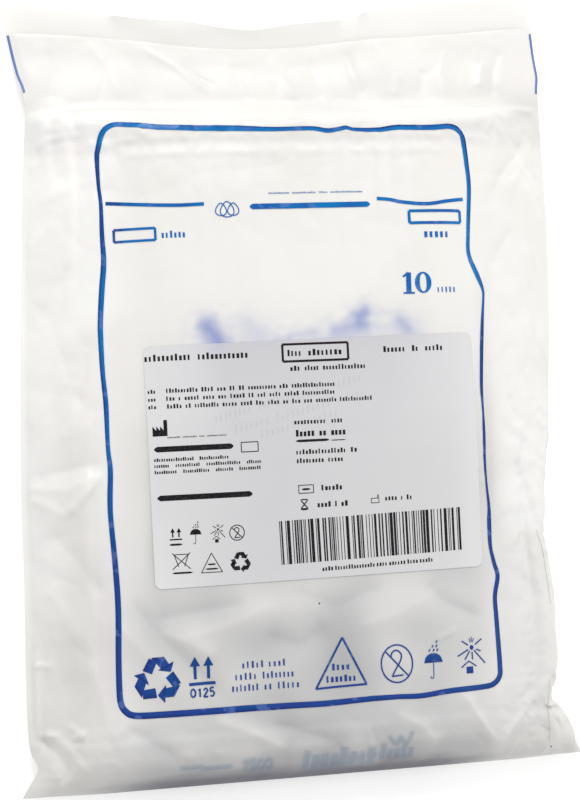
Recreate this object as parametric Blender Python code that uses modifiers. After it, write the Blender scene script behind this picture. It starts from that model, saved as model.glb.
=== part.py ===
"""A sealed clear pack of short-tube urine bags, lying on its back.

X runs across the pack, Y up towards its open header, Z up off the table. The
origin is on the table, under the middle of the pack's box. All sizes are metres.
Positions below count Y from the foot, and place() moves them to that origin.
"""

import math

import bmesh
import bpy
from mathutils import Matrix, Vector

# Pouch: a tube of film, welded across its foot and below its header
FILM_WALL = 0.0005
FOOT_WELD = 0.003
LOOP_ROOM = 0.031
HEAD_WELD = 0.003
HEADER_LENGTH = 0.049
FRONT_LIP = 0.011
WELD_HEIGHT = 0.0085
EAR_HEIGHT = 0.0045
EAR_FROM = 0.092
EAR_RUN = 0.030
EAR_RISE = 0.040
SEAM_INSET = 0.001
END_SLOPE = 2.2
FRONT_SIDE_SLOPE = 2.2
BACK_SIDE_SLOPE = 1.3
VENT_BORE = 0.0010
VENT_DEPTH = 0.0015
DRILL_CLEAR = 0.002
VENT_ON_FRONT = (0.0032, 0.0777)
VENT_IN_EAR = (0.1135, 0.0095)

# Side folds of the film tube: height up the pack, then distance from the middle
LEFT_SIDE = ((0.000, 0.1270), (0.011, 0.1195), (0.040, 0.1235), (0.130, 0.1225),
             (0.240, 0.1180), (0.300, 0.1145), (0.318, 0.1175), (0.349, 0.1210))
RIGHT_SIDE = ((0.000, 0.1275), (0.022, 0.1180), (0.060, 0.1178), (0.110, 0.1165),
              (0.185, 0.1225), (0.240, 0.1245), (0.300, 0.1245), (0.318, 0.1260),
              (0.349, 0.1220))

# Header: the mouth stays open, and the film sags across its middle
HEADER_REST = 0.0016
HEADER_FALL = 0.026
MOUTH_GAP = 0.0011
MOUTH_RUN = 0.012
CLOSED_GAP = 0.00015
HEADER_SAG = 0.010
SAG_FROM = -0.085
SAG_TO = 0.052
SAG_RUN = 0.038

# Contents: ten flat bags, turned over by turns so that their ports make two groups
BAG_COUNT = 10
BAG_WIDTH = 0.172
BAG_LENGTH = 0.248
BAG_THICKNESS = 0.0016
BAG_CORNER = 0.014
RIM_WIDTH = 0.006
SWELL_RUN = 0.004
RIM_THICKNESS = 0.0008
BAG_FOOT = 0.010
STACK_CENTRE = 0.0024
HANGER_HOLE = 0.008
HANGER_FROM_SIDE = 0.016
HANGER_FROM_TOP = 0.013
GAP = 0.0003

PORT_OFFSET = 0.032
NECK_WIDTH = 0.011
NECK_LENGTH = 0.003
PORT_OUTSIDE = 0.0076
PORT_LENGTH = 0.008
PORT_SIDES = 10

# Tube, connector and cap of each bag
TUBE_LENGTH = 0.100
TUBE_OUTSIDE = 0.0065
TUBE_BEND = 0.0065
TUBE_LEAD = 0.002
LANE_PITCH = 0.0084
COLLAR_LENGTH = 0.007
COLLAR_OUTSIDE = 0.0076
NOZZLE_LENGTH = 0.021
NOZZLE_ROOT = 0.0060
NOZZLE_TIP = 0.0042
CAP_LENGTH = 0.025
CAP_OUTSIDE = 0.0076
CAP_TIP = 0.0058
CAP_WALL = 0.0005
TURNED_STEPS = 10
LOOP_SLACK = {7: 0.003}

# Stock label on the front
LABEL_WIDTH = 0.148
LABEL_HEIGHT = 0.105
LABEL_THICKNESS = 0.0003
LABEL_CORNER = 0.003
LABEL_CENTRE = (0.0055, 0.1412)
LABEL_TURN = math.radians(0.5)

# How the film drapes over what is in it
EDGE_EASE = 0.005
STACK_FALL = 0.75
TUBE_FALL_ACROSS = 0.60
TUBE_FALL_ALONG = 0.17
DRAPE_RUN = 0.030
DRAPE_SOFTNESS = 0.0008

# Standing folds in the front film: start, end, half width, height
FRONT_FOLDS = (
    ((0.0940, 0.240), (0.1010, 0.150), 0.0050, 0.0016),
    ((0.1060, 0.225), (0.1040, 0.125), 0.0045, 0.0022),
    ((0.1040, 0.131), (0.1120, 0.055), 0.0045, 0.0030),
    ((0.1120, 0.055), (0.1100, 0.022), 0.0045, 0.0022),
    ((-0.1150, 0.190), (-0.0960, 0.152), 0.0060, 0.0020),
    ((-0.1160, 0.143), (-0.0950, 0.124), 0.0060, 0.0024),
    ((-0.1120, 0.092), (-0.1040, 0.062), 0.0060, 0.0020),
    ((-0.1080, 0.040), (-0.0980, 0.020), 0.0050, 0.0018),
    ((0.0460, 0.303), (0.0480, 0.349), 0.0060, 0.0030),
    ((-0.0170, 0.303), (-0.0150, 0.345), 0.0070, 0.0018),
)

FOLD_ROOM = 0.020

COLUMNS = 28
BODY_ROWS = 31
HEADER_ROWS = 6
END_CROWDING = 0.5

COLOURS = {
    "film": ((0.86, 0.86, 0.84), 0.28, 0.55),
    "label": ((0.72, 0.72, 0.73), 0.55, 1.0),
    "bag": ((0.83, 0.85, 0.86), 0.30, 0.7),
    "tube": ((0.88, 0.90, 0.90), 0.25, 0.7),
    "connector": ((0.90, 0.91, 0.91), 0.35, 1.0),
    "cap": ((0.03, 0.17, 0.55), 0.32, 1.0),
}


def clear_scene():
    for thing in list(bpy.data.objects):
        bpy.data.objects.remove(thing, do_unlink=True)


def make_collection(name):
    collection = bpy.data.collections.new(name)
    bpy.context.scene.collection.children.link(collection)
    return collection


def make_material(name):
    colour, roughness, alpha = COLOURS[name]
    material = bpy.data.materials.new(name)
    material.use_nodes = True
    shader = material.node_tree.nodes["Principled BSDF"]
    shader.inputs["Base Color"].default_value = (*colour, 1.0)
    shader.inputs["Roughness"].default_value = roughness
    shader.inputs["Metallic"].default_value = 0.0
    shader.inputs["Alpha"].default_value = alpha
    return material


def smooth(value):
    """0 below 0, 1 above 1, with an eased run between."""
    value = min(max(value, 0.0), 1.0)
    return value * value * (3.0 - 2.0 * value)


def along(stations, position):
    """The eased value at a position between (position, value) stations."""
    if position <= stations[0][0]:
        return stations[0][1]
    for (start, first), (end, second) in zip(stations, stations[1:]):
        if position <= end:
            return first + (second - first) * smooth((position - start) / (end - start))
    return stations[-1][1]


def soft_largest(values):
    top = max(values)
    total = sum(math.exp((value - top) / DRAPE_SOFTNESS) for value in values)
    return top + DRAPE_SOFTNESS * math.log(total)


def crowded(count):
    """Fractions from 0 to 1 that lie closer together towards both ends."""
    turn = 2.0 * math.pi
    return [i / count - END_CROWDING * math.sin(turn * i / count) / turn for i in range(count + 1)]


def box_middle():
    """Middle of the pack's box, as positions count."""
    left, right = (max(away for y, away in side) for side in (LEFT_SIDE, RIGHT_SIDE))
    return Vector(((right - left) / 2.0, pack_length() / 2.0, 0.0))


def place(thing, collection):
    collection.objects.link(thing)
    thing.location -= box_middle()


# Layout of the bags and their tubes
def group_size():
    return (BAG_COUNT + 1) // 2


def lane_order(count):
    """A spread order, so that neighbours in the stack don't take neighbouring lanes."""
    golden = (math.sqrt(5.0) - 1.0) / 2.0
    order = sorted(range(count), key=lambda i: (i * golden) % 1.0)
    return order[-1:] + order[:-1]


def port_side(number):
    return 1.0 if number % 2 == 0 else -1.0


def lane_shift(number):
    """How far this bag is pushed aside, which gives its tube a lane of its own."""
    lane = lane_order(group_size())[(number - 1) // 2]
    return LANE_PITCH * (lane - (group_size() - 1) / 2.0)


def bag_middle(number):
    return STACK_CENTRE + lane_shift(number)


def lane(number):
    return bag_middle(number) + port_side(number) * PORT_OFFSET


def bag_height(number):
    return FILM_WALL + GAP + BAG_THICKNESS / 2.0 + (number - 1) * (BAG_THICKNESS + GAP)


def bag_top_edge():
    return BAG_FOOT + BAG_LENGTH


def stack_top():
    return bag_height(BAG_COUNT) + BAG_THICKNESS / 2.0


def lane_height():
    fattest = max(TUBE_OUTSIDE, CAP_OUTSIDE, COLLAR_OUTSIDE)
    return stack_top() + GAP + fattest / 2.0


def port_height(number):
    """A port is fatter than its bag, so the lowest necks bend up and the topmost bend down."""
    lowest = FILM_WALL + GAP + PORT_OUTSIDE / 2.0
    highest = lane_height() - TUBE_OUTSIDE / 2.0 - GAP - PORT_OUTSIDE / 2.0
    return min(max(bag_height(number), lowest), highest)


def port_end():
    return bag_top_edge() + NECK_LENGTH + PORT_LENGTH


def tube_start():
    return port_end() + GAP


def head_weld_from():
    """The head weld leaves the folded tubes their room above the ports."""
    return port_end() + LOOP_ROOM


def pack_length():
    return head_weld_from() + HEADER_LENGTH


def front_edge():
    """The cut edge of the header's front film, short of the back film."""
    return pack_length() - FRONT_LIP


def fold_angle(drop):
    """How far a tight fold first swings away, so that it can come back parallel."""
    return math.acos(min(1.0, (drop / (2.0 * TUBE_BEND) + 1.0) / 2.0))


def tube_route(number):
    """Points (y, z) from the port, round the fold and down the front of the stack."""
    height = port_height(number)
    drop = lane_height() - height
    away = fold_angle(drop)
    bend = max(TUBE_BEND, drop / 2.0)
    lead = TUBE_LEAD + LOOP_SLACK.get(number, 0.0)
    y, z, heading = tube_start() + lead, height, 0.0
    points = [(tube_start(), z), (y, z)]
    for turn, pieces in ((-away, 3), (math.pi + 2.0 * away, 9), (-away, 3)):
        if abs(turn) < 1e-6:
            continue
        step = turn / pieces
        chord = 2.0 * bend * math.sin(abs(step) / 2.0)
        for _ in range(pieces):
            heading += step
            y += chord * math.cos(heading - step / 2.0)
            z += chord * math.sin(heading - step / 2.0)
            points.append((y, z))
    straight = TUBE_LENGTH - lead - bend * (math.pi + 4.0 * away)
    for share in (0.5, 1.0):
        points.append((y - straight * share, lane_height()))
    return points


def tube_end(number):
    return tube_route(number)[-1][0]


def cap_mouth(number):
    return tube_end(number) - GAP - COLLAR_LENGTH - GAP


def bag_boxes():
    """Each bag as (x0, x1, y0, y1, top)."""
    boxes = []
    for number in range(1, BAG_COUNT + 1):
        middle, half = bag_middle(number), BAG_WIDTH / 2.0
        top = bag_height(number) + BAG_THICKNESS / 2.0
        boxes.append((middle - half, middle + half, BAG_FOOT, bag_top_edge(), top))
    return boxes


def tube_box():
    """The field of tubes and caps on the front of the stack, as (x0, x1, y0, y1, top)."""
    numbers = range(1, BAG_COUNT + 1)
    routes = [tube_route(number) for number in numbers]
    side = max(CAP_OUTSIDE, TUBE_OUTSIDE) / 2.0
    foot = min(cap_mouth(number) for number in numbers) - CAP_LENGTH
    reach = max(y for route in routes for y, z in route) + TUBE_OUTSIDE / 2.0
    top = max(z for route in routes for y, z in route) + TUBE_OUTSIDE / 2.0
    lanes = [lane(number) for number in numbers]
    return min(lanes) - side, max(lanes) + side, foot, reach, max(top, lane_height() + side)


def short_of(value, low, high):
    """How far a value lies outside a range that is eased outwards."""
    return max(low - EDGE_EASE - value, value - high - EDGE_EASE, 0.0)


def eased(distance, run):
    return distance * distance / (distance + run)


def drape(x, y):
    """Height of the outer face of the front film where it rests on the contents."""
    heights = []
    for x0, x1, y0, y1, top in bag_boxes():
        away = math.hypot(short_of(x, x0, x1), short_of(y, y0, y1))
        heights.append(top - STACK_FALL * away)
    x0, x1, y0, y1, top = tube_box()
    across = TUBE_FALL_ACROSS * eased(short_of(x, x0, x1), DRAPE_RUN)
    below = TUBE_FALL_ALONG * eased(max(y0 - y, 0.0), DRAPE_RUN)
    heights.append(top - across - below)
    return soft_largest(heights) + GAP + FILM_WALL


# The pouch's outline and its two skins
def side_at(x, y):
    return along(RIGHT_SIDE if x > 0.0 else LEFT_SIDE, y)


def room_at(x, y, side_slope):
    """How far a film can lie from the seam here, rising from the side folds and the welds."""
    from_side = side_at(x, y) - abs(x)
    from_end = min(y - FOOT_WELD, head_weld_from() - y)
    return max(0.0, min(side_slope * from_side, END_SLOPE * from_end))


def seam_height(x, y):
    """Height of the side folds, the welds and the header's mid-plane."""
    corner = smooth((abs(x) - EAR_FROM) / EAR_RUN) * smooth((EAR_RISE - y) / EAR_RISE)
    level = WELD_HEIGHT - (WELD_HEIGHT - EAR_HEIGHT) * corner
    fall = smooth((y - head_weld_from() - HEAD_WELD) / HEADER_FALL)
    return level + (HEADER_REST - level) * fall


def mouth_gap(x, y):
    """Half the gap between the two films of the header, nothing at welds and side folds."""
    up = smooth((y - head_weld_from() - HEAD_WELD) / HEADER_FALL)
    across = smooth((side_at(x, y) - abs(x)) / MOUTH_RUN)
    return CLOSED_GAP + MOUTH_GAP * up * across


def fold_height(x, y):
    """The tallest standing fold of the front film at a place."""
    tallest = 0.0
    for start, end, width, height in FRONT_FOLDS:
        run = Vector(end) - Vector(start)
        share = (Vector((x, y)) - Vector(start)).dot(run) / run.length_squared
        nearest = Vector(start) + run * min(max(share, 0.0), 1.0)
        off = (Vector((x, y)) - nearest).length
        tallest = max(tallest, height * smooth(1.0 - off / (2.0 * width)))
    return tallest


def front_skin(x, y):
    """Outer face of the front film."""
    seam = seam_height(x, y) + FILM_WALL
    if y > head_weld_from():
        gap = mouth_gap(x, y)
        return seam + gap + fold_height(x, y) * smooth(gap / MOUTH_GAP)
    room = room_at(x, y, FRONT_SIDE_SLOPE)
    if room <= 0.0:
        return seam
    return seam + min(drape(x, y) - seam, room) + fold_height(x, y) * smooth(room / FOLD_ROOM)


def back_skin(x, y):
    """Outer face of the back film, flat on the table under the stack."""
    seam = seam_height(x, y) - FILM_WALL
    if y > head_weld_from():
        return max(0.0, seam - mouth_gap(x, y))
    return max(0.0, seam - room_at(x, y, BACK_SIDE_SLOPE))


def body_rows():
    """Rows of the filled part, from just inside one weld to just inside the other."""
    first, last = FOOT_WELD + SEAM_INSET, head_weld_from() - SEAM_INSET
    return [first + (last - first) * share for share in crowded(BODY_ROWS)]


def header_rows():
    """Rows of the header, with one at the cut edge of the front film."""
    first = head_weld_from() + HEAD_WELD
    run = front_edge() - first
    return [first + run * i / HEADER_ROWS for i in range(HEADER_ROWS + 1)] + [pack_length()]


def inner_columns(y):
    """Columns from just inside one side fold to just inside the other."""
    first, last = SEAM_INSET - along(LEFT_SIDE, y), along(RIGHT_SIDE, y) - SEAM_INSET
    return [first + (last - first) * share for share in crowded(COLUMNS)]


def all_columns(y):
    return [-along(LEFT_SIDE, y)] + inner_columns(y) + [along(RIGHT_SIDE, y)]


def header_sag(x, y):
    """How far the header is drawn down across its middle."""
    across = smooth((x - SAG_FROM) / SAG_RUN) * smooth((SAG_TO - x) / SAG_RUN)
    up = smooth((y - head_weld_from() - HEAD_WELD) / HEADER_LENGTH)
    return HEADER_SAG * across * up


def film_grid(rows, columns_at, heights):
    """A sheet on rows and columns, or with two height functions a closed block between them."""
    mesh = bmesh.new()
    across, up = len(columns_at(rows[0])) - 1, len(rows) - 1
    bmesh.ops.create_grid(mesh, x_segments=across, y_segments=up, size=0.5)
    upper = set()
    if len(heights) > 1:
        raised = bmesh.ops.extrude_face_region(mesh, geom=mesh.faces[:])
        upper = {part for part in raised["geom"] if isinstance(part, bmesh.types.BMVert)}
    for vertex in mesh.verts:
        y = rows[round((vertex.co.y + 0.5) * up)]
        x = columns_at(y)[round((vertex.co.x + 0.5) * across)]
        height = heights[-1] if vertex in upper else heights[0]
        vertex.co = (x, y - header_sag(x, y), height(x, y))
    bmesh.ops.recalc_face_normals(mesh, faces=mesh.faces[:])
    return mesh


def film_block(name, rows, columns_at, low, high):
    mesh = film_grid(rows, columns_at, (low, high))
    join_level_faces(mesh)
    return finish_mesh(name, mesh)


def join_level_faces(mesh):
    """Makes one face of those that lie level in the flat underside."""
    level = {face for face in mesh.faces
             if face.calc_center_median().z < 2.0 * FILM_WALL and abs(face.normal.z) > 1.0 - 1e-7}
    inner = [edge for edge in mesh.edges
             if edge.link_faces and all(face in level for face in edge.link_faces)]
    bmesh.ops.dissolve_edges(mesh, edges=inner, use_verts=True)


def finish_mesh(name, mesh):
    data = bpy.data.meshes.new(name)
    mesh.to_mesh(data)
    mesh.free()
    return bpy.data.objects.new(name, data)


def cavity_floor(x, y):
    return back_skin(x, y) + FILM_WALL


def cavity_roof(x, y):
    return max(front_skin(x, y) - FILM_WALL, cavity_floor(x, y) + CLOSED_GAP)


def make_slot(rows):
    """The mouth between the header's films, opened upwards above the front film's edge."""
    cut = front_edge()
    clear = 4.0 * SEAM_INSET

    def columns_at(y):
        columns = inner_columns(y)
        if y > cut:
            columns[0] -= clear
            columns[-1] += clear
        return columns

    def roof(x, y):
        return cavity_roof(x, y) + (clear if y > cut else 0.0)

    rows = rows[:-1] + [cut + GAP, pack_length(), pack_length() + clear]
    return film_block("mouth_cutter", rows, columns_at, cavity_floor, roof)


def make_drill(name, spot, low, high):
    mesh = bmesh.new()
    bmesh.ops.create_cone(mesh, cap_ends=True, segments=8, radius1=VENT_BORE / 2.0,
                          radius2=VENT_BORE / 2.0, depth=high - low,
                          matrix=Matrix.Translation((*spot, (high + low) / 2.0)))
    return finish_mesh(name, mesh)


def cut_with(target, cutter, cutters, operation="DIFFERENCE"):
    place(cutter, cutters)
    cutter.hide_render = True
    cutter.display_type = "WIRE"
    boolean = target.modifiers.new(cutter.name, "BOOLEAN")
    boolean.operation = operation
    boolean.solver = "EXACT"
    boolean.object = cutter


def dress(thing, collection, material, smooth_angle=None):
    place(thing, collection)
    thing.data.materials.append(material)
    if smooth_angle is not None:
        thing.data.shade_smooth()
        thing.data.set_sharp_from_angle(angle=math.radians(smooth_angle))


def make_pouch(parts, cutters, material):
    body, header = body_rows(), header_rows()
    rows = [0.0, FOOT_WELD] + body + [head_weld_from()] + header
    pouch = film_block("pouch_film", rows, all_columns, back_skin, front_skin)
    cavity = film_block("cavity_cutter", body, inner_columns, cavity_floor, cavity_roof)
    cut_with(pouch, cavity, cutters)
    cut_with(pouch, make_slot(header), cutters)
    film = front_skin(*VENT_ON_FRONT)
    vent = make_drill("front_vent_drill", VENT_ON_FRONT, film - VENT_DEPTH, film + DRILL_CLEAR)
    cut_with(pouch, vent, cutters)
    film = front_skin(*VENT_IN_EAR)
    vent = make_drill("ear_vent_drill", VENT_IN_EAR, -DRILL_CLEAR, film + DRILL_CLEAR)
    cut_with(pouch, vent, cutters)
    dress(pouch, parts, material, 50)


# Flat bag with its welded rim, hanging holes, neck and port
def make_plate(width, length, corner, thickness, sides):
    """A flat plate with rounded corners, centred on its own origin."""
    mesh = bmesh.new()
    bmesh.ops.create_cube(mesh, size=1.0)
    bmesh.ops.scale(mesh, verts=mesh.verts, vec=(width, length, thickness))
    upright = [edge for edge in mesh.edges
               if abs(edge.verts[0].co.z - edge.verts[1].co.z) > thickness / 2.0]
    bmesh.ops.bevel(mesh, geom=upright, offset=corner, offset_type="OFFSET", segments=sides,
                    profile=0.5, affect="EDGES")
    return mesh


def puff_out(mesh, rim, swell):
    """Leaves a flat welded rim and swells the sheet inside it, on both faces."""
    for face in [face for face in mesh.faces if abs(face.normal.z) > 0.9]:
        rise = math.copysign(swell, face.normal.z)
        bmesh.ops.inset_region(mesh, faces=[face], thickness=rim, use_even_offset=True)
        bmesh.ops.inset_region(mesh, faces=[face], thickness=SWELL_RUN, use_even_offset=True)
        bmesh.ops.translate(mesh, verts=face.verts[:], vec=(0.0, 0.0, rise))


def make_neck(number):
    """A short tongue of film from the rim, bent to the height of its port."""
    mesh = bmesh.new()
    bmesh.ops.create_cube(mesh, size=1.0)
    overlap = RIM_WIDTH / 2.0
    bmesh.ops.scale(mesh, verts=mesh.verts, vec=(NECK_WIDTH, NECK_LENGTH + overlap, RIM_THICKNESS / 2.0))
    bmesh.ops.translate(mesh, verts=mesh.verts, vec=(0.0, (NECK_LENGTH - overlap) / 2.0, 0.0))
    geometry = mesh.verts[:] + mesh.edges[:] + mesh.faces[:]
    bmesh.ops.bisect_plane(mesh, geom=geometry, plane_co=(0.0, GAP, 0.0), plane_no=(0.0, 1.0, 0.0))
    far = [vertex for vertex in mesh.verts if vertex.co.y > 2.0 * GAP]
    bmesh.ops.translate(mesh, verts=far, vec=(0.0, 0.0, port_height(number) - bag_height(number)))
    return mesh


def make_bag(number, parts, cutters, material):
    name = f"urine_bag_{number:02d}"
    mesh = make_plate(BAG_WIDTH, BAG_LENGTH, BAG_CORNER, RIM_THICKNESS, 3)
    puff_out(mesh, RIM_WIDTH, (BAG_THICKNESS - RIM_THICKNESS) / 2.0)
    bag = finish_mesh(name, mesh)
    middle = bag_middle(number)
    bag.location = (middle, BAG_FOOT + BAG_LENGTH / 2.0, bag_height(number))
    dress(bag, parts, material)

    neck = finish_mesh(f"{name}_neck", make_neck(number))
    neck.location = (lane(number), bag_top_edge(), bag_height(number))
    cut_with(bag, neck, cutters, "UNION")

    port = bmesh.new()
    depth = PORT_LENGTH + NECK_LENGTH / 2.0
    upright = Matrix.Rotation(math.radians(90.0), 4, "X") @ Matrix.Rotation(math.pi / PORT_SIDES, 4, "Z")
    bmesh.ops.create_cone(port, cap_ends=True, segments=PORT_SIDES, radius1=PORT_OUTSIDE / 2.0,
                          radius2=PORT_OUTSIDE / 2.0, depth=depth, matrix=upright)
    port = finish_mesh(f"{name}_port", port)
    port.location = (lane(number), port_end() - depth / 2.0, port_height(number))
    cut_with(bag, port, cutters, "UNION")

    for side in (-1.0, 1.0):
        across = side * (BAG_WIDTH / 2.0 - HANGER_FROM_SIDE)
        hole = bmesh.new()
        bmesh.ops.create_cone(hole, cap_ends=True, segments=8, radius1=HANGER_HOLE / 2.0,
                              radius2=HANGER_HOLE / 2.0, depth=4.0 * BAG_THICKNESS)
        hole = finish_mesh(f"{name}_hole_{'left' if side < 0.0 else 'right'}", hole)
        hole.location = (middle + across, bag_top_edge() - HANGER_FROM_TOP, bag_height(number))
        cut_with(bag, hole, cutters)


def make_tube(number, parts, material):
    curve = bpy.data.curves.new(f"tube_{number:02d}", "CURVE")
    curve.dimensions = "3D"
    curve.bevel_depth = TUBE_OUTSIDE / 2.0
    curve.bevel_resolution = 2
    curve.use_fill_caps = True
    route = tube_route(number)
    spline = curve.splines.new("POLY")
    spline.points.add(len(route) - 1)
    for point, (y, z) in zip(spline.points, route):
        point.co = (0.0, y, z, 1.0)
    tube = bpy.data.objects.new(curve.name, curve)
    tube.location = (lane(number), 0.0, 0.0)
    place(tube, parts)
    curve.materials.append(material)


def make_turned(name, profile, steps):
    """A piece turned about its own Z from (radius, height) points, listed top to bottom."""
    mesh = bmesh.new()
    points = [mesh.verts.new((radius, 0.0, height)) for radius, height in profile]
    for first, second in zip(points, points[1:]):
        mesh.edges.new((first, second))
    turned = finish_mesh(name, mesh)
    screw = turned.modifiers.new("turned", "SCREW")
    screw.steps = steps
    screw.render_steps = steps
    screw.use_merge_vertices = True
    screw.merge_threshold = 0.00002
    return turned


def lay_along_tube(thing, number, y):
    """Turns a piece so that its own +Z points down the pack, away from the tube's end."""
    thing.rotation_euler = (math.radians(90.0), 0.0, 0.0)
    thing.location = (lane(number), y, lane_height())


def make_connector(number, parts, material):
    tip = COLLAR_LENGTH + NOZZLE_LENGTH
    profile = [
        (0.0, tip), (NOZZLE_TIP / 2.0, tip), (NOZZLE_ROOT / 2.0, COLLAR_LENGTH),
        (COLLAR_OUTSIDE / 2.0, COLLAR_LENGTH), (COLLAR_OUTSIDE / 2.0, COLLAR_LENGTH * 0.6),
        (TUBE_OUTSIDE / 2.0, 0.0), (0.0, 0.0),
    ]
    connector = make_turned(f"connector_{number:02d}", profile, TURNED_STEPS)
    lay_along_tube(connector, number, tube_end(number) - GAP)
    dress(connector, parts, material, 40)


def make_cap(number, parts, material):
    bore = CAP_OUTSIDE / 2.0 - CAP_WALL
    bore_tip = CAP_TIP / 2.0 - CAP_WALL
    profile = [
        (0.0, CAP_LENGTH), (CAP_TIP / 2.0 - CAP_WALL, CAP_LENGTH),
        (CAP_TIP / 2.0, CAP_LENGTH - CAP_WALL), (CAP_OUTSIDE / 2.0, 0.0), (bore, 0.0),
        (bore_tip, CAP_LENGTH - 2.0 * CAP_WALL), (0.0, CAP_LENGTH - 2.0 * CAP_WALL),
    ]
    cap = make_turned(f"cap_{number:02d}", profile, TURNED_STEPS)
    lay_along_tube(cap, number, cap_mouth(number))
    dress(cap, parts, material, 40)


def rounded_outline(width, height, corner, steps):
    """Points and outward directions round a rectangle with rounded corners."""
    for step in range(4 * steps):
        angle = math.radians(90.0 * step / steps)
        across = 1.0 if math.cos(angle) > 1e-9 else -1.0
        up = 1.0 if math.sin(angle) > 1e-9 else -1.0
        centre = Vector((across * (width / 2.0 - corner), up * (height / 2.0 - corner), 0.0))
        outward = Vector((math.cos(angle), math.sin(angle), 0.0))
        yield centre + outward * corner, outward


def make_label(parts, material):
    """A sheet cut to its outline from the front film's own grid, so that it lies on the film."""
    mesh = film_grid(body_rows(), inner_columns, (front_skin,))
    bmesh.ops.translate(mesh, verts=mesh.verts, vec=(0.0, 0.0, GAP))
    turn = Matrix.Rotation(LABEL_TURN, 3, "Z")
    for point, outward in rounded_outline(LABEL_WIDTH, LABEL_HEIGHT, LABEL_CORNER, 3):
        geometry = mesh.verts[:] + mesh.edges[:] + mesh.faces[:]
        bmesh.ops.bisect_plane(mesh, geom=geometry, clear_outer=True, plane_no=turn @ outward,
                               plane_co=turn @ point + Vector((*LABEL_CENTRE, 0.0)))
    raised = bmesh.ops.extrude_face_region(mesh, geom=mesh.faces[:])
    upper = [part for part in raised["geom"] if isinstance(part, bmesh.types.BMVert)]
    bmesh.ops.translate(mesh, verts=upper, vec=(0.0, 0.0, LABEL_THICKNESS))
    bmesh.ops.recalc_face_normals(mesh, faces=mesh.faces[:])
    dress(finish_mesh("label", mesh), parts, material)


def main():
    clear_scene()
    parts = make_collection("sealed_pack_of_urine_bags")
    cutters = make_collection("cutters")
    materials = {name: make_material(name) for name in COLOURS}
    make_pouch(parts, cutters, materials["film"])
    make_label(parts, materials["label"])
    for number in range(1, BAG_COUNT + 1):
        make_bag(number, parts, cutters, materials["bag"])
        make_tube(number, parts, materials["tube"])
        make_connector(number, parts, materials["connector"])
        make_cap(number, parts, materials["cap"])


main()
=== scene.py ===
import math
import random

import bmesh
import bpy
from mathutils import Matrix, Vector, noise
from mathutils.bvhtree import BVHTree


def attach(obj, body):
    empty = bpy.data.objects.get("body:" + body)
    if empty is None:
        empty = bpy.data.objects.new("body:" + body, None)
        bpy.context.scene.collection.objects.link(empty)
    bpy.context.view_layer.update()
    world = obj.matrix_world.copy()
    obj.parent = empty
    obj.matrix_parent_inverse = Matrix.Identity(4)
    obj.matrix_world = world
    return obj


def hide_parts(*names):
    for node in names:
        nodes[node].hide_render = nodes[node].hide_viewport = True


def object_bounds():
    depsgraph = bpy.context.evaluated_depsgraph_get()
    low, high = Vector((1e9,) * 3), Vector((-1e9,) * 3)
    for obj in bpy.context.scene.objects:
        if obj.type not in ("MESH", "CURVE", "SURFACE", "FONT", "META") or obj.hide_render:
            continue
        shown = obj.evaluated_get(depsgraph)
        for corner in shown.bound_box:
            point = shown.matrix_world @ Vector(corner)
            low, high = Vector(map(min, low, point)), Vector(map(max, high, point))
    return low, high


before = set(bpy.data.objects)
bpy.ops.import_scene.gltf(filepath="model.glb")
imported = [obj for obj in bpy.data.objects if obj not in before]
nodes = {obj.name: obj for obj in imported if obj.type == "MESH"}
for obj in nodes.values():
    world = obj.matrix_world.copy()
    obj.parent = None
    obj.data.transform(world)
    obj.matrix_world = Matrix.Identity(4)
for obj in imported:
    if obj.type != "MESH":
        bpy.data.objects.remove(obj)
cadLow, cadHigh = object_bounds()
mm = 0.001
midline = 0.25
print("frame loaded")


# small helpers
def at(across, up, height=0):
    # millimetres to the right of the pack's middle, up from its foot and off the table
    return Vector((across * mm - midline * mm, up * mm + cadLow.y, height * mm))


def wander(across, up, layer):
    # a smooth chance value between about -1 and 1
    return noise.noise(Vector((across, up, layer)))


def placeOf(vert):
    return vert.co.x / mm + midline, (vert.co.y - cadLow.y) / mm


def clamp(value):
    return min(max(value, 0), 1)


def between(value, start, end):
    # nought at the start, one at the end, with soft ends
    share = clamp((value - start) / (end - start))
    return share * share * (3 - 2 * share)


def through(stations, position):
    # a smooth curve through (position, value) stations
    if position <= stations[0][0]:
        return stations[0][1]
    if position >= stations[-1][0]:
        return stations[-1][1]
    for index in range(len(stations) - 1):
        start, end = stations[index], stations[index + 1]
        if position <= end[0]:
            break
    before = stations[max(index - 1, 0)]
    after = stations[min(index + 2, len(stations) - 1)]
    run = end[0] - start[0]
    share = (position - start[0]) / run
    slopeIn = (end[1] - before[1]) / (end[0] - before[0]) * run
    slopeOut = (after[1] - start[1]) / (after[0] - start[0]) * run
    square, cube = share * share, share * share * share
    return ((2 * cube - 3 * square + 1) * start[1] + (cube - 2 * square + share) * slopeIn
            + (3 * square - 2 * cube) * end[1] + (cube - square) * slopeOut)


def treeOf(bm):
    return BVHTree.FromBMesh(bm)


def meshTree(thing):
    bm = bmesh.new()
    bm.from_mesh(thing.data)
    tree = treeOf(bm)
    bm.free()
    return tree


def drop(tree, x, y):
    # height of a surface under a place, or None past its edge
    hit = tree.ray_cast(Vector((x, y, 0.2)), Vector((0, 0, -1)))[0]
    return hit.z if hit else None


def lift(tree, x, y):
    # height of the lowest surface over a place
    hit = tree.ray_cast(Vector((x, y, -0.2)), Vector((0, 0, 1)))[0]
    return hit.z if hit else None


def sheet(columns, rows, place):
    # a grid whose shares across and up are sent to their places
    bm = bmesh.new()
    bmesh.ops.create_grid(bm, x_segments=columns, y_segments=rows, size=0.5)
    for vert in bm.verts:
        vert.co = place(vert.co.x + 0.5, vert.co.y + 0.5)
    return bm


def innerVerts(bm):
    return [vert for vert in bm.verts if not vert.is_boundary]


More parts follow.
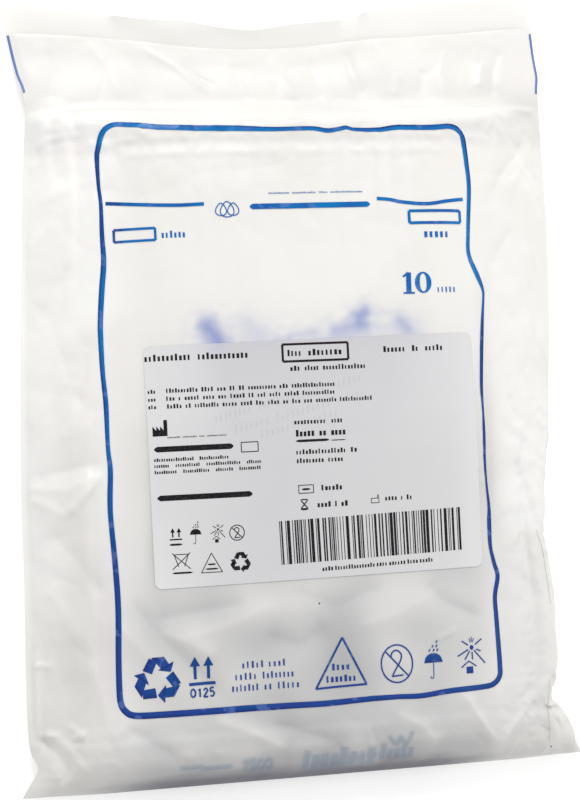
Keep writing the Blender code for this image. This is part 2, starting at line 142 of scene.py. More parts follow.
def smoothHeights(bm, verts, times):
    for _ in range(times):
        bmesh.ops.smooth_vert(bm, verts=verts, factor=0.5,
                              use_axis_x=False, use_axis_y=False, use_axis_z=True)


def cutCorner(bm, side, width, height, corner, angles):
    # rounds one corner of a flat grid with a few straight cuts
    centre = Vector((side[0] * (width / 2 - corner), side[1] * (height / 2 - corner), 0))
    for angle in angles:
        away = Vector((side[0] * math.cos(math.radians(angle)), side[1] * math.sin(math.radians(angle)), 0))
        bmesh.ops.bisect_plane(bm, geom=bm.verts[:] + bm.edges[:] + bm.faces[:], clear_outer=True,
                               plane_co=centre + away * corner, plane_no=away)


def finish(name, bm, material):
    data = bpy.data.meshes.new(name)
    bm.to_mesh(data)
    bm.free()
    data.materials.append(material)
    data.shade_smooth()
    thing = bpy.data.objects.new(name, data)
    bpy.context.scene.collection.objects.link(thing)
    return thing


# lines of print, in millimetres
def smoothPath(points, closed, step):
    # knots joined by smooth curves, sampled about every step; a third value is a width
    knots = [Vector(point) for point in points]
    count = len(knots)
    path = []
    for index in range(count if closed else count - 1):
        here, there = knots[index], knots[(index + 1) % count]
        before = knots[index - 1] if closed or index else here
        after = knots[(index + 2) % count] if closed or index + 2 < count else there
        pieces = max(1, round((there - here).length / step))
        for part in range(pieces):
            share = part / pieces
            square, cube = share * share, share * share * share
            path.append(0.5 * (2 * here + (there - before) * share
                               + (2 * before - 5 * here + 4 * there - after) * square
                               + (3 * here - 3 * there + after - before) * cube))
    return path if closed else path + [knots[-1]]


def band(bm, low, high, steps, layers=1):
    # a flat band between two curves, each given by a share from 0 to 1
    rim = bm.verts.layers.float.get("rim") or bm.verts.layers.float.new("rim")
    made = bmesh.ops.create_grid(bm, x_segments=steps, y_segments=layers, size=0.5)
    for vert in made["verts"]:
        along, up = vert.co.x + 0.5, vert.co.y + 0.5
        vert[rim] = 1 - up if layers > 2 else 0
        first, second = Vector(low(along)), Vector(high(along))
        spot = first + (second - first) * up
        vert.co = at(spot.x, spot.y)
    return made["verts"]


def stroke(bm, points, width, closed=False, step=1.3, smoothed=True, layers=None):
    # a line of ink along a path
    path = smoothPath(points, closed, step) if smoothed else [Vector(point) for point in points]
    count = len(path)
    steps = count if closed else count - 1
    middle, side = [], []
    for index in range(steps + 1):
        here = path[index % count]
        before = path[(index - 1) % count] if closed or index else here
        after = path[(index + 1) % count] if closed or index < steps else here
        heading = Vector((after.x - before.x, after.y - before.y)).normalized()
        middle.append(Vector((here.x, here.y)))
        side.append(Vector((-heading.y, heading.x)) * (here.z if len(here) == 3 else width) / 2)
    low = [spot - off for spot, off in zip(middle, side)]
    high = [spot + off for spot, off in zip(middle, side)]
    layers = layers or (2 if width > 1.2 else 1)
    verts = band(bm, lambda a: low[round(a * steps)], lambda a: high[round(a * steps)], steps, layers)
    if closed:
        bmesh.ops.remove_doubles(bm, verts=verts, dist=0.00001)


def bar(bm, start, end, up, height):
    # a plain bar with slightly rounded ends, for a word
    radius = min(height * 0.35, (end - start) / 2)

    def half(share):
        near = min(share, 1 - share) * (end - start)
        if near >= radius:
            return height / 2
        return height / 2 - radius + math.sqrt(max(radius ** 2 - (radius - near) ** 2, 0))

    steps = max(4, round((end - start) / 1.2))
    band(bm, lambda a: (start + (end - start) * a, up - half(a)),
         lambda a: (start + (end - start) * a, up + half(a)), steps, 2)


def blocks(bm, start, end, up, height, weight, slope):
    # a word's place as a row of plain blocks
    chance = random.Random(round(start * 37 + up * 11))
    count = max(1, round((end - start) / (height * 0.66)))
    pitch = (end - start) / count
    for index in range(count):
        left = start + pitch * (index + 0.12)
        right = left + pitch * weight * chance.choice((0.8, 1, 1, 1.15))
        low = up - height / 2 + slope * (left - start)
        high = low + height * chance.choice((0.72, 0.72, 0.8, 1))
        band(bm, lambda a: (left + (right - left) * a, low), lambda a: (left + (right - left) * a, high), 1)


def words(bm, start, end, up, height, lengths, gap=1.3, weight=0.55, slope=0):
    # a line of words that fill a run
    spare = (end - start) - gap * (len(lengths) - 1)
    scale = spare / sum(lengths)
    place = start
    for length in lengths:
        blocks(bm, place, place + length * scale, up + slope * (place - start), height, weight, slope)
        place += length * scale + gap


def drawNumber(bm, digits, left, low, height, width):
    # a plain number, drawn with strokes
    strokes = {
        "0": (((0.28, 0), (0.05, 0.22), (0, 0.5), (0.05, 0.78), (0.28, 1), (0.51, 0.78),
               (0.56, 0.5), (0.51, 0.22), (0.28, 0)),),
        "1": (((0.14, 0.8), (0.34, 1), (0.34, 0)),),
        "2": (((0.04, 0.76), (0.26, 1), (0.5, 0.78), (0.3, 0.4), (0.03, 0), (0.55, 0)),),
        "5": (((0.5, 1), (0.12, 1), (0.07, 0.56), (0.3, 0.62), (0.53, 0.34), (0.3, 0), (0.03, 0.1)),),
    }
    for index, digit in enumerate(digits):
        for path in strokes[digit]:
            stroke(bm, [(left + height * (x + 0.78 * index), low + height * y) for x, y in path], width,
                   step=height / 6, smoothed=digit != "1")


def turns(steps):
    return [2 * math.pi * index / steps for index in range(steps)]


def ring(bm, across, up, radiusX, radiusY, width):
    points = [(across + radiusX * math.cos(a), up + radiusY * math.sin(a)) for a in turns(36)]
    stroke(bm, points, width, closed=True, smoothed=False)


def box(bm, left, low, right, high, width):
    for pair in (((left, low), (right, low)), ((right, low), (right, high)),
                 ((right, high), (left, high)), ((left, high), (left, low))):
        stroke(bm, pair, width)


def drawTables(bm, tables):
    # the plain rows of a print: words, bars, boxes and straight lines
    for row in tables["words"]:
        words(bm, *row)
    for row in tables.get("bars", ()):
        bar(bm, *row)
    for row in tables.get("boxes", ()):
        box(bm, *row)
    for width, *points in tables.get("lines", ()):
        stroke(bm, points, width)


def layOn(bm, tree, height):
    for vert in bm.verts:
        surface = drop(tree, vert.co.x, vert.co.y)
        vert.co.z = (surface if surface is not None else 0) + height * mm
    bmesh.ops.recalc_face_normals(bm, faces=bm.faces)
    for face in bm.faces:
        if face.normal.z < 0:
            face.normal_flip()


# materials
def feed(tree, made, inputs):
    # fills a node's inputs: a socket is joined, anything else is a value
    for label, value in inputs.items():
        if isinstance(value, bpy.types.NodeSocket):
            tree.links.new(value, made.inputs[label])
        else:
            made.inputs[label].default_value = value


def node(tree, kind, inputs=None, **settings):
    made = tree.nodes.new(kind)
    for label, value in settings.items():
        setattr(made, label, value)
    feed(tree, made, inputs or {})
    return made


def newGroup(name, scale):
    # a group that turns a size into a mask
    group = bpy.data.node_groups.new(name, "ShaderNodeTree")
    size = group.interface.new_socket(name="Size", in_out="INPUT", socket_type="NodeSocketFloat")
    size.default_value = scale
    group.interface.new_socket(name="Mask", in_out="OUTPUT", socket_type="NodeSocketFloat")
    given = group.nodes.new("NodeGroupInput")
    return group, given.outputs["Size"], group.nodes.new("NodeGroupOutput")


def newMaterial(name, colour, roughness, **values):
    material = bpy.data.materials.new(name)
    material.use_nodes = True
    tree = material.node_tree
    shader = tree.nodes["Principled BSDF"]
    feed(tree, shader, {"Base Color": (*colour, 1), "Roughness": roughness, **values})
    return material, tree, shader


def grainGroup(name, kind, scale, detail, roughness, low, high):
    # one noise in object space, stretched to a mask from nought to one
    group, size, result = newGroup(name, scale)
    place = node(group, "ShaderNodeTexCoord").outputs["Object"]
    grain = node(group, "ShaderNodeTexNoise",
                 {"Vector": place, "Scale": size, "Detail": detail, "Roughness": roughness},
                 noise_type=kind)
    spread = node(group, "ShaderNodeMapRange",
                  {"Value": grain.outputs[0], "From Min": low, "From Max": high})
    feed(group, result, {"Mask": spread.outputs["Result"]})
    return group


def facetGroup(name, scale):
    # painted shade of flat facets of film: one tone to each cell, drawn out along the pack
    group, size, result = newGroup(name, scale)
    place = node(group, "ShaderNodeTexCoord").outputs["Object"]
    stretch = node(group, "ShaderNodeMapping",
                   {"Vector": place, "Scale": (1, 0.55, 0.2), "Rotation": (0, 0, 0.2)})
    cells = node(group, "ShaderNodeTexVoronoi",
                 {"Vector": stretch.outputs["Vector"], "Scale": size, "Smoothness": 0.25},
                 feature="SMOOTH_F1")
    grey = node(group, "ShaderNodeSeparateColor", {"Color": cells.outputs["Color"]})
    feed(group, result, {"Mask": grey.outputs["Red"]})
    return group


filmFacets = facetGroup("filmFacets", 30)
softCloud = grainGroup("softCloud", "FBM", 22, 2, 0.5, 0.35, 0.65)
fineCreases = grainGroup("fineCreases", "RIDGED_MULTIFRACTAL", 60, 3, 0.55, 0.3, 2.2)
fineGrain = grainGroup("fineGrain", "FBM", 900, 4, 0.6, 0.3, 0.7)


def addGroup(tree, group, size):
    made = tree.nodes.new("ShaderNodeGroup")
    made.node_tree = group
    feed(tree, made, {"Size": size})
    return made.outputs["Mask"]


def attribute(tree, name):
    return node(tree, "ShaderNodeAttribute", attribute_name=name).outputs["Fac"]


def blend(tree, mask, first, second):
    # a colour, or a mask's amount of a second colour over it
    first, second = ((*value, 1) if isinstance(value, tuple) else value for value in (first, second))
    mix = node(tree, "ShaderNodeMix", {"A": first, "B": second, "Factor": mask}, data_type="RGBA")
    return mix.outputs["Result"]


def spreadMask(tree, mask, low, high):
    spread = node(tree, "ShaderNodeMapRange", {"Value": mask, "To Min": low, "To Max": high})
    return spread.outputs["Result"]


def dress(tree, shader, base, mask, low, high, bump=None):
    # colour, a roughness that a mask spreads between two values, and a fine bump
    # the bump is a group, its size, a strength and a distance
    feed(tree, shader, {"Base Color": base, "Roughness": spreadMask(tree, mask, low, high)})
    if bump:
        group, size, strength, distance = bump
        height = addGroup(tree, group, size)
        skin = node(tree, "ShaderNodeBump", {"Height": height, "Strength": strength, "Distance": distance})
        feed(tree, shader, {"Normal": skin.outputs["Normal"]})


def makeFilm():
    material, tree, shader = newMaterial("milkyFilm", (0.9, 0.9, 0.885), 0.34, Alpha=0.93, IOR=1.5)
    cloud = addGroup(tree, softCloud, 26)
    facets = addGroup(tree, filmFacets, 42)
    base = blend(tree, attribute(tree, "backing"), (0.86, 0.84, 0.795), (0.87, 0.87, 0.87))
    # lighter cloudy patches and darker facets: random tone, partly painted light and shade of the film's
    # undulations
    base = blend(tree, spreadMask(tree, cloud, 0, 0.35), base, (0.9, 0.89, 0.865))
    base = blend(tree, spreadMask(tree, facets, 0, 0.3), base, (0.8, 0.785, 0.76))
    # shade and footShade hold painted shade in creases, beside the label, over the header and at the foot;
    # shade also holds the stack's grey
    for mask, colour in (("thin", (0.93, 0.925, 0.905)), ("shade", (0.42, 0.42, 0.43)),
                         ("footShade", (0.13, 0.13, 0.155)), ("ghost", (0.1, 0.17, 0.53)),
                         ("faded", (0.07, 0.165, 0.28))):
        base = blend(tree, attribute(tree, mask), base, colour)
    dress(tree, shader, base, cloud, 0.38, 0.55, (fineCreases, 55, 0.55, 0.0007))
    return material


def makeLabelFace():
    material, tree, shader = newMaterial("labelFace", (0.69, 0.685, 0.69), 0.5)
    cloud = addGroup(tree, softCloud, 18)
    base = blend(tree, cloud, (0.715, 0.71, 0.72), (0.755, 0.75, 0.755))
    base = blend(tree, attribute(tree, "shade"), base, (0.54, 0.535, 0.55))
    base = blend(tree, attribute(tree, "ghost"), base, (0.33, 0.37, 0.55))
    dress(tree, shader, base, cloud, 0.42, 0.58, (fineGrain, 700, 0.12, 0.0002))
    return material


def makeBlueInk():
    material, tree, shader = newMaterial("blueInk", (0.01, 0.12, 0.5), 0.3, **{"Specular IOR Level": 0.18})
    patches = addGroup(tree, softCloud, 70)
    low = blend(tree, patches, (0.004, 0.055, 0.235), (0.014, 0.045, 0.25))
    high = blend(tree, patches, (0, 0.165, 0.46), (0.004, 0.1, 0.38))
    base = blend(tree, attribute(tree, "headward"), low, high)
    # darker along both edges of a line, in patches
    edge = node(tree, "ShaderNodeMath", {0: spreadMask(tree, attribute(tree, "rim"), -1.1, 1.3),
                                         1: spreadMask(tree, addGroup(tree, softCloud, 30), 0.2, 1)},
                operation="MULTIPLY")
    base = blend(tree, edge.outputs[0], base, (0.004, 0.022, 0.16))
    shine = addGroup(tree, softCloud, 160)
    base = blend(tree, spreadMask(tree, shine, -1.1, 0.4), base, (0.13, 0.2, 0.5))
    base = blend(tree, attribute(tree, "pale"), base, (0.17, 0.22, 0.46))
    dress(tree, shader, base, patches, 0.22, 0.45, (fineCreases, 90, 0.2, 0.0003))
    return material


def makeBlackInk():
    material, tree, shader = newMaterial("blackInk", (0.02, 0.018, 0.02), 0.6,
                                         **{"Specular IOR Level": 0.08})
    grain = addGroup(tree, fineGrain, 1400)
    base = blend(tree, spreadMask(tree, grain, -0.5, 0.8), (0.008, 0.006, 0.008), (0.05, 0.046, 0.05))
    dress(tree, shader, base, grain, 0.45, 0.65)
    return material


def makePlastic(name, first, second, roughness, size, bump, **values):
    # plain plastic with a little cloud in its colour and a fine skin
    material, tree, shader = newMaterial(name, first, roughness, **values)
    cloud = addGroup(tree, softCloud, size)
    dress(tree, shader, blend(tree, cloud, first, second), cloud, roughness - 0.06, roughness + 0.08,
          (fineGrain, size * 6, bump, 0.0002))
    return material


def makePlainInkAndShade(name, first, second):
    material, tree, shader = newMaterial(name, first, 0.5)
    grain = addGroup(tree, fineGrain, 500)
    dress(tree, shader, blend(tree, grain, first, second), grain, 0.45, 0.6)
    return material


filmMaterial = makeFilm()
labelMaterial = makeLabelFace()
blueInk = makeBlueInk()
blackInk = makeBlackInk()
faintInk = makePlainInkAndShade("faintInk", (0.53, 0.53, 0.54), (0.57, 0.57, 0.58))
bagInk = makePlainInkAndShade("bagInk", (0.1, 0.2, 0.5), (0.14, 0.26, 0.56))
# painted shade for the edges of folds
foldShade = makePlainInkAndShade("foldShade", (0.5, 0.48, 0.47), (0.6, 0.58, 0.56))
ventDark = makePlainInkAndShade("ventDark", (0.05, 0.05, 0.055), (0.09, 0.09, 0.1))
bagMaterial = makePlastic("bagFilm", (0.8, 0.82, 0.83), (0.86, 0.87, 0.88), 0.3, 40, 0.3)
tubeMaterial = makePlastic("clearTube", (0.82, 0.85, 0.85), (0.88, 0.9, 0.9), 0.22, 60, 0.2, Alpha=0.6)
connectorMaterial = makePlastic("connectorPlastic", (0.86, 0.88, 0.88), (0.91, 0.92, 0.92), 0.33, 80, 0.15)
capMaterial = makePlastic("bluePlastic", (0.02, 0.1, 0.5), (0.03, 0.14, 0.6), 0.32, 120, 0.15)
floorMaterial = makePlastic("paleFloor", (0.93, 0.93, 0.93), (0.95, 0.95, 0.95), 0.85, 3, 0.05,
                            **{"Emission Color": (1, 1, 1, 1), "Emission Strength": 0.2})


# contents
bag = {
    "columns": 58, "rows": 84, "length": 248, "corner": 14, "thickness": 1.6,
    "rim": 6, "rimThickness": 0.8, "groove": 0.12, "grooveHalf": 1.4,
    "hole": 4, "holeSide": 16, "holeTop": 13,
    "neck": (11, 5, 1.4), "port": 3.8, "portTop": 10.6, "portStarts": (1, 9.4),
}


def makeBag(thing):
    # a flat bag with a swollen middle, a welded rim, two hanger holes and a port
    verts = [vert.co for vert in thing.data.vertices]
    low = Vector([min(co[i] for co in verts) for i in range(3)])
    high = Vector([max(co[i] for co in verts) for i in range(3)])
    tip = [co for co in verts if co.y > high.y - 0.5 * mm]
    lane = sum(co.x for co in tip) / len(tip)
    portLevel = sum(co.z for co in tip) / len(tip)
    plate = [co for co in verts if co.y < low.y + 20 * mm]
    level = (max(co.z for co in plate) + min(co.z for co in plate)) / 2
    width, length, corner = high.x - low.x, bag["length"] * mm, bag["corner"] * mm
    middle = Vector(((low.x + high.x) / 2, low.y + length / 2, 0))

    bm = bmesh.new()
    bmesh.ops.create_grid(bm, x_segments=bag["columns"], y_segments=bag["rows"], size=0.5)
    bmesh.ops.scale(bm, verts=bm.verts, vec=(width, length, 1))
    for sideX in (-1, 1):
        for sideY in (-1, 1):
            cutCorner(bm, (sideX, sideY), width, length, corner, range(9, 90, 12))
        hole = Vector((sideX * (width / 2 - bag["holeSide"] * mm), length / 2 - bag["holeTop"] * mm, 0))
        radius = bag["hole"] * mm
        for vert in bm.verts:
            off = vert.co - hole
            if 0.5 * radius < off.length < 1.45 * radius:
                vert.co = hole + off.normalized() * radius
        within = [face for face in bm.faces if (face.calc_center_median() - hole).length < radius * 0.95]
        bmesh.ops.delete(bm, geom=within, context="FACES")
    bmesh.ops.translate(bm, verts=bm.verts, vec=(0, 0, bag["rimThickness"] * mm / 2))
    bmesh.ops.solidify(bm, geom=bm.faces[:], thickness=bag["rimThickness"] * mm)
    highest = max(vert.co.z for vert in bm.verts)
    lowest = min(vert.co.z for vert in bm.verts)
    swell = (bag["thickness"] - bag["rimThickness"]) / 2
    for vert in bm.verts:
        x, y = abs(vert.co.x) / mm, abs(vert.co.y) / mm
        halfX, halfY = width / mm / 2, length / mm / 2
        inner = min(halfX - x, halfY - y)
        cornerOff = Vector((x - (halfX - bag["corner"]), y - (halfY - bag["corner"])))
        if cornerOff.x > 0 and cornerOff.y > 0:
            inner = min(inner, bag["corner"] - cornerOff.length)
        rise = swell * between(inner, bag["rim"] - 1, bag["rim"] + 3)
        # a shallow groove along the weld
        off = abs(inner - bag["rim"] / 2)
        rise -= bag["groove"] * (1 - off / bag["grooveHalf"]) if off < bag["grooveHalf"] else 0
        up = vert.co.z > (highest + lowest) / 2
        vert.co.z = level + ((bag["rimThickness"] / 2 + rise) * mm) * (1 if up else -1)
    bmesh.ops.translate(bm, verts=bm.verts, vec=middle)
    for vert in bm.verts:
        vert.co.z *= 1 - 0.4 * between((vert.co.y - low.y) / mm, 14, 0)

    neck = bmesh.ops.create_cube(bm, size=1)["verts"]
    bmesh.ops.scale(bm, verts=neck, vec=[side * mm for side in bag["neck"]])
    bmesh.ops.bevel(bm, geom=[edge for edge in bm.edges if edge.verts[0] in neck and edge.verts[1] in neck],
                    offset=0.4 * mm, segments=2, profile=0.5, affect="EDGES", material=-1)
    neckVerts = [vert for vert in bm.verts if vert.co.length < 9 * mm]
    bmesh.ops.translate(bm, verts=neckVerts, vec=(lane, low.y + length + 0.8 * mm, (level + portLevel) / 2))
    turn = Matrix.Rotation(math.radians(90), 3, "X")
    radius, top = bag["port"] * mm, bag["portTop"]
    for start in bag["portStarts"]:
        port = bmesh.ops.create_cone(bm, cap_ends=True, segments=32, radius1=radius, radius2=radius,
                                     depth=(top - start) * mm)["verts"]
        bmesh.ops.rotate(bm, verts=port, matrix=turn)
        bmesh.ops.translate(bm, verts=port, vec=(lane, high.y - (top - (start + top) / 2) * mm, portLevel))
    return bm


print("contents")
finishes = {"tube": tubeMaterial, "connector": connectorMaterial, "cap": capMaterial}
topBag, inside = None, []
for name, thing in nodes.items():
    kind, _, number = name.rpartition("_")
    if kind == "urine_bag":
        piece = finish("bag" + number, makeBag(thing), bagMaterial)
        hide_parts(name)
        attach(piece, "root")
        if topBag is None or piece.data.vertices[0].co.z > topBag.data.vertices[0].co.z:
            topBag = piece
        inside.append(piece)
    elif kind in finishes:
        thing.data.materials.clear()
        thing.data.materials.append(finishes[kind])
        inside.append(thing)


bagPrint = {
    "lift": 0.05, "up": 9,
    # heights of the strokes of two words, from left to right
    "tall": (7.8, 5.6, 6.2, 5.4, 8, 5.8, 5.2, 7.4), "small": (6, 3.4, 3.8, 5.4, 3.4),
    "zigzag": ((33, 16.5), (36, 12.8), (38, 16), (40.5, 12.6), (43, 17.6)),
    "marks": 14, "firstMark": 30, "markStep": 14,
}


def footWords(bm, shift):
    # plain words at the foot of the bag
    for index, tall in enumerate(bagPrint["tall"]):
        start, low = 4.2 * index - 5, 4.6 + shift
        stroke(bm, ((start, low), (start + 0.9, low + tall)), 2.5 if index % 3 else 1.8)
        if index % 2:
            stroke(bm, ((start - 1, 4.9 + shift + 0.5 * tall), (start + 3, 5 + shift + 0.5 * tall)), 1.3)
    for index, tall in enumerate(bagPrint["small"]):
        start, low = 30 + 3.1 * index, 7 + shift
        stroke(bm, ((start, low), (start + 0.5, low + tall)), 1.3)
    stroke(bm, [(across, up + shift) for across, up in bagPrint["zigzag"]], 0.7)
    bar(bm, -60, -50, 9.6 + shift, 0.7)
    bar(bm, -51, -38, 8.6 + shift, 0.9)
    drawNumber(bm, "1500", -33, 6.4 + shift, 4.4, 0.6)


def makeBagPrint(tree):
    # the top bag's own print, with a scale up its side
    bm = bmesh.new()
    footWords(bm, bagPrint["up"])
    for index in range(bagPrint["marks"]):
        up = bagPrint["firstMark"] + bagPrint["markStep"] * index
        stroke(bm, ((-66, up), (-57 if index % 2 else -61, up)), 0.6)
    layOn(bm, tree, bagPrint["lift"])
    return bm


piece = finish("bagPrint", makeBagPrint(meshTree(topBag)), bagInk)
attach(piece, "root")
footBm = bmesh.new()
footWords(footBm, 0)
footTree = treeOf(footBm)
footBm.free()


# stock label
label = {
    "columns": 92, "rows": 66, "width": 148, "height": 105, "corner": 3,
    "centre": (5.5, 141.2), "turn": 0.5, "lift": 0.2, "thickness": 0.12,
    # how much greyer it looks, by places across
    "tone": ((-76, 0.02), (-58, 0.3), (-40, 0.55), (-22, 0.68), (14, 0.67), (40, 0.62), (56, 0.56),
             (68, 0.5), (76, 0.34)),
}


# pouch of milky film
pouch = {
    "columns": 112, "bodyRows": 134, "headerRows": 18, "weldTo": 303, "rollFrom": 22,
    # how far from its lip the front looks for the part, and how far up the back does
    "lipRoom": 6, "backReach": 348,
    # height of the side seams: beside the stack, at the ears of the foot, in the header
    "seam": 8.5, "earSeam": 4.5, "headerSeam": 1.9,
    # room over the contents, under them, off the table and between the header's layers
    "over": 0.35, "under": 0.25, "offTable": 0.06, "layers": 0.5,
    "leftEdge": (
        (0, -128.4), (5, -125.4), (12.5, -121), (19, -123.8), (28, -124.7), (47, -124.8), (95, -123.6),
        (132, -123.2), (195, -120.8), (243, -118.2), (275, -116.2), (296, -114.4), (303, -113.3),
        (308, -114.3), (313, -115.3), (318, -117), (338, -120.8), (350, -122.8),
    ),
    "rightEdge": (
        (0, 127.2), (6, 124.7), (13.8, 120.6), (21, 114.8), (25, 112.6), (29, 111.2), (33, 111.6),
        (37, 113.3), (41, 115), (50, 115.4), (60, 115.5), (73, 115.2), (80, 114.7), (88, 113.6),
        (94, 113.6), (98.5, 112.6), (103, 112.4), (110, 112.9), (117, 113.3), (124.5, 113.4), (132, 114.3),
        (139, 115.3), (147, 117), (154, 118.5), (186, 121.9), (236, 124.3), (270, 124), (305, 123.8),
        (310, 124.4), (316, 125.6), (335, 124.9), (350, 123.2),
    ),
    "frontLip": (
        (-122, 338.2), (-79, 335.6), (-15, 329.8), (48, 334.2), (122, 339.6),
    ),
    "backLip": (
        (-122, 352.4), (-112, 351.7), (-100, 350.1), (-84.7, 348.3), (-70, 345.9), (-55, 344.3),
        (-40, 343.6), (-25, 340.8), (-10, 339.3), (0, 340.4), (12, 342.3), (27, 343.4), (36, 344.6),
        (43, 347.2), (50, 349), (58, 350.5), (72, 351.9), (94, 353.3), (122, 354.2),
    ),
}


def edges(up):
    return through(pouch["leftEdge"], up), through(pouch["rightEdge"], up)


def seamHeight(across, up):
    corner = between(abs(across), 92, 122) * between(40 - up, 0, 40)
    level = pouch["seam"] - (pouch["seam"] - pouch["earSeam"]) * corner
    return level + (pouch["headerSeam"] - level) * between(up, pouch["weldTo"], pouch["weldTo"] + 26)


pouchTree = meshTree(nodes["pouch_film"])
filmRows = pouch["bodyRows"] + pouch["headerRows"]
bodyShare = pouch["bodyRows"] / filmRows


def rowUp(across, share, lip):
    # the body's rows are level, and the header's end at a wavy cut edge
    if share <= bodyShare:
        return pouch["weldTo"] * share / bodyShare
    top = through(lip, across)
    return pouch["weldTo"] + (top - pouch["weldTo"]) * (share - bodyShare) / (1 - bodyShare)


def filmPlace(shareAcross, shareUp, front):
    lip = pouch["frontLip"] if front else pouch["backLip"]
    up = pouch["weldTo"] * min(shareUp / bodyShare, 1)
    for _ in range(3):
        left, right = edges(up)
        across = left + (right - left) * shareAcross
        up = rowUp(across, shareUp, lip)
    spot = at(across, up)
    seam = seamHeight(across, up) * mm
    if shareAcross < 0.0001 or shareAcross > 0.9999:
        spot.z = seam
        return spot
    # beyond the cut edge of the part's front layer only the back one could be met
    limit = through(lip, across) - pouch["lipRoom"] if front else pouch["backReach"]
    inner = at(min(max(across, left + 1.2), right - 1.2), min(up, limit))
    height = (drop if front else lift)(pouchTree, inner.x, inner.y)
    spot.z = seam if height is None else height
    if front and up < pouch["rollFrom"]:
        # the front rolls down over the ends of the bags
        crest = drop(pouchTree, inner.x, at(0, pouch["rollFrom"] + 2).y)
        if crest is not None:
            spot.z = min(spot.z, seam + (crest - seam) * (1 - (1 - up / pouch["rollFrom"]) ** 2.2))
    return spot


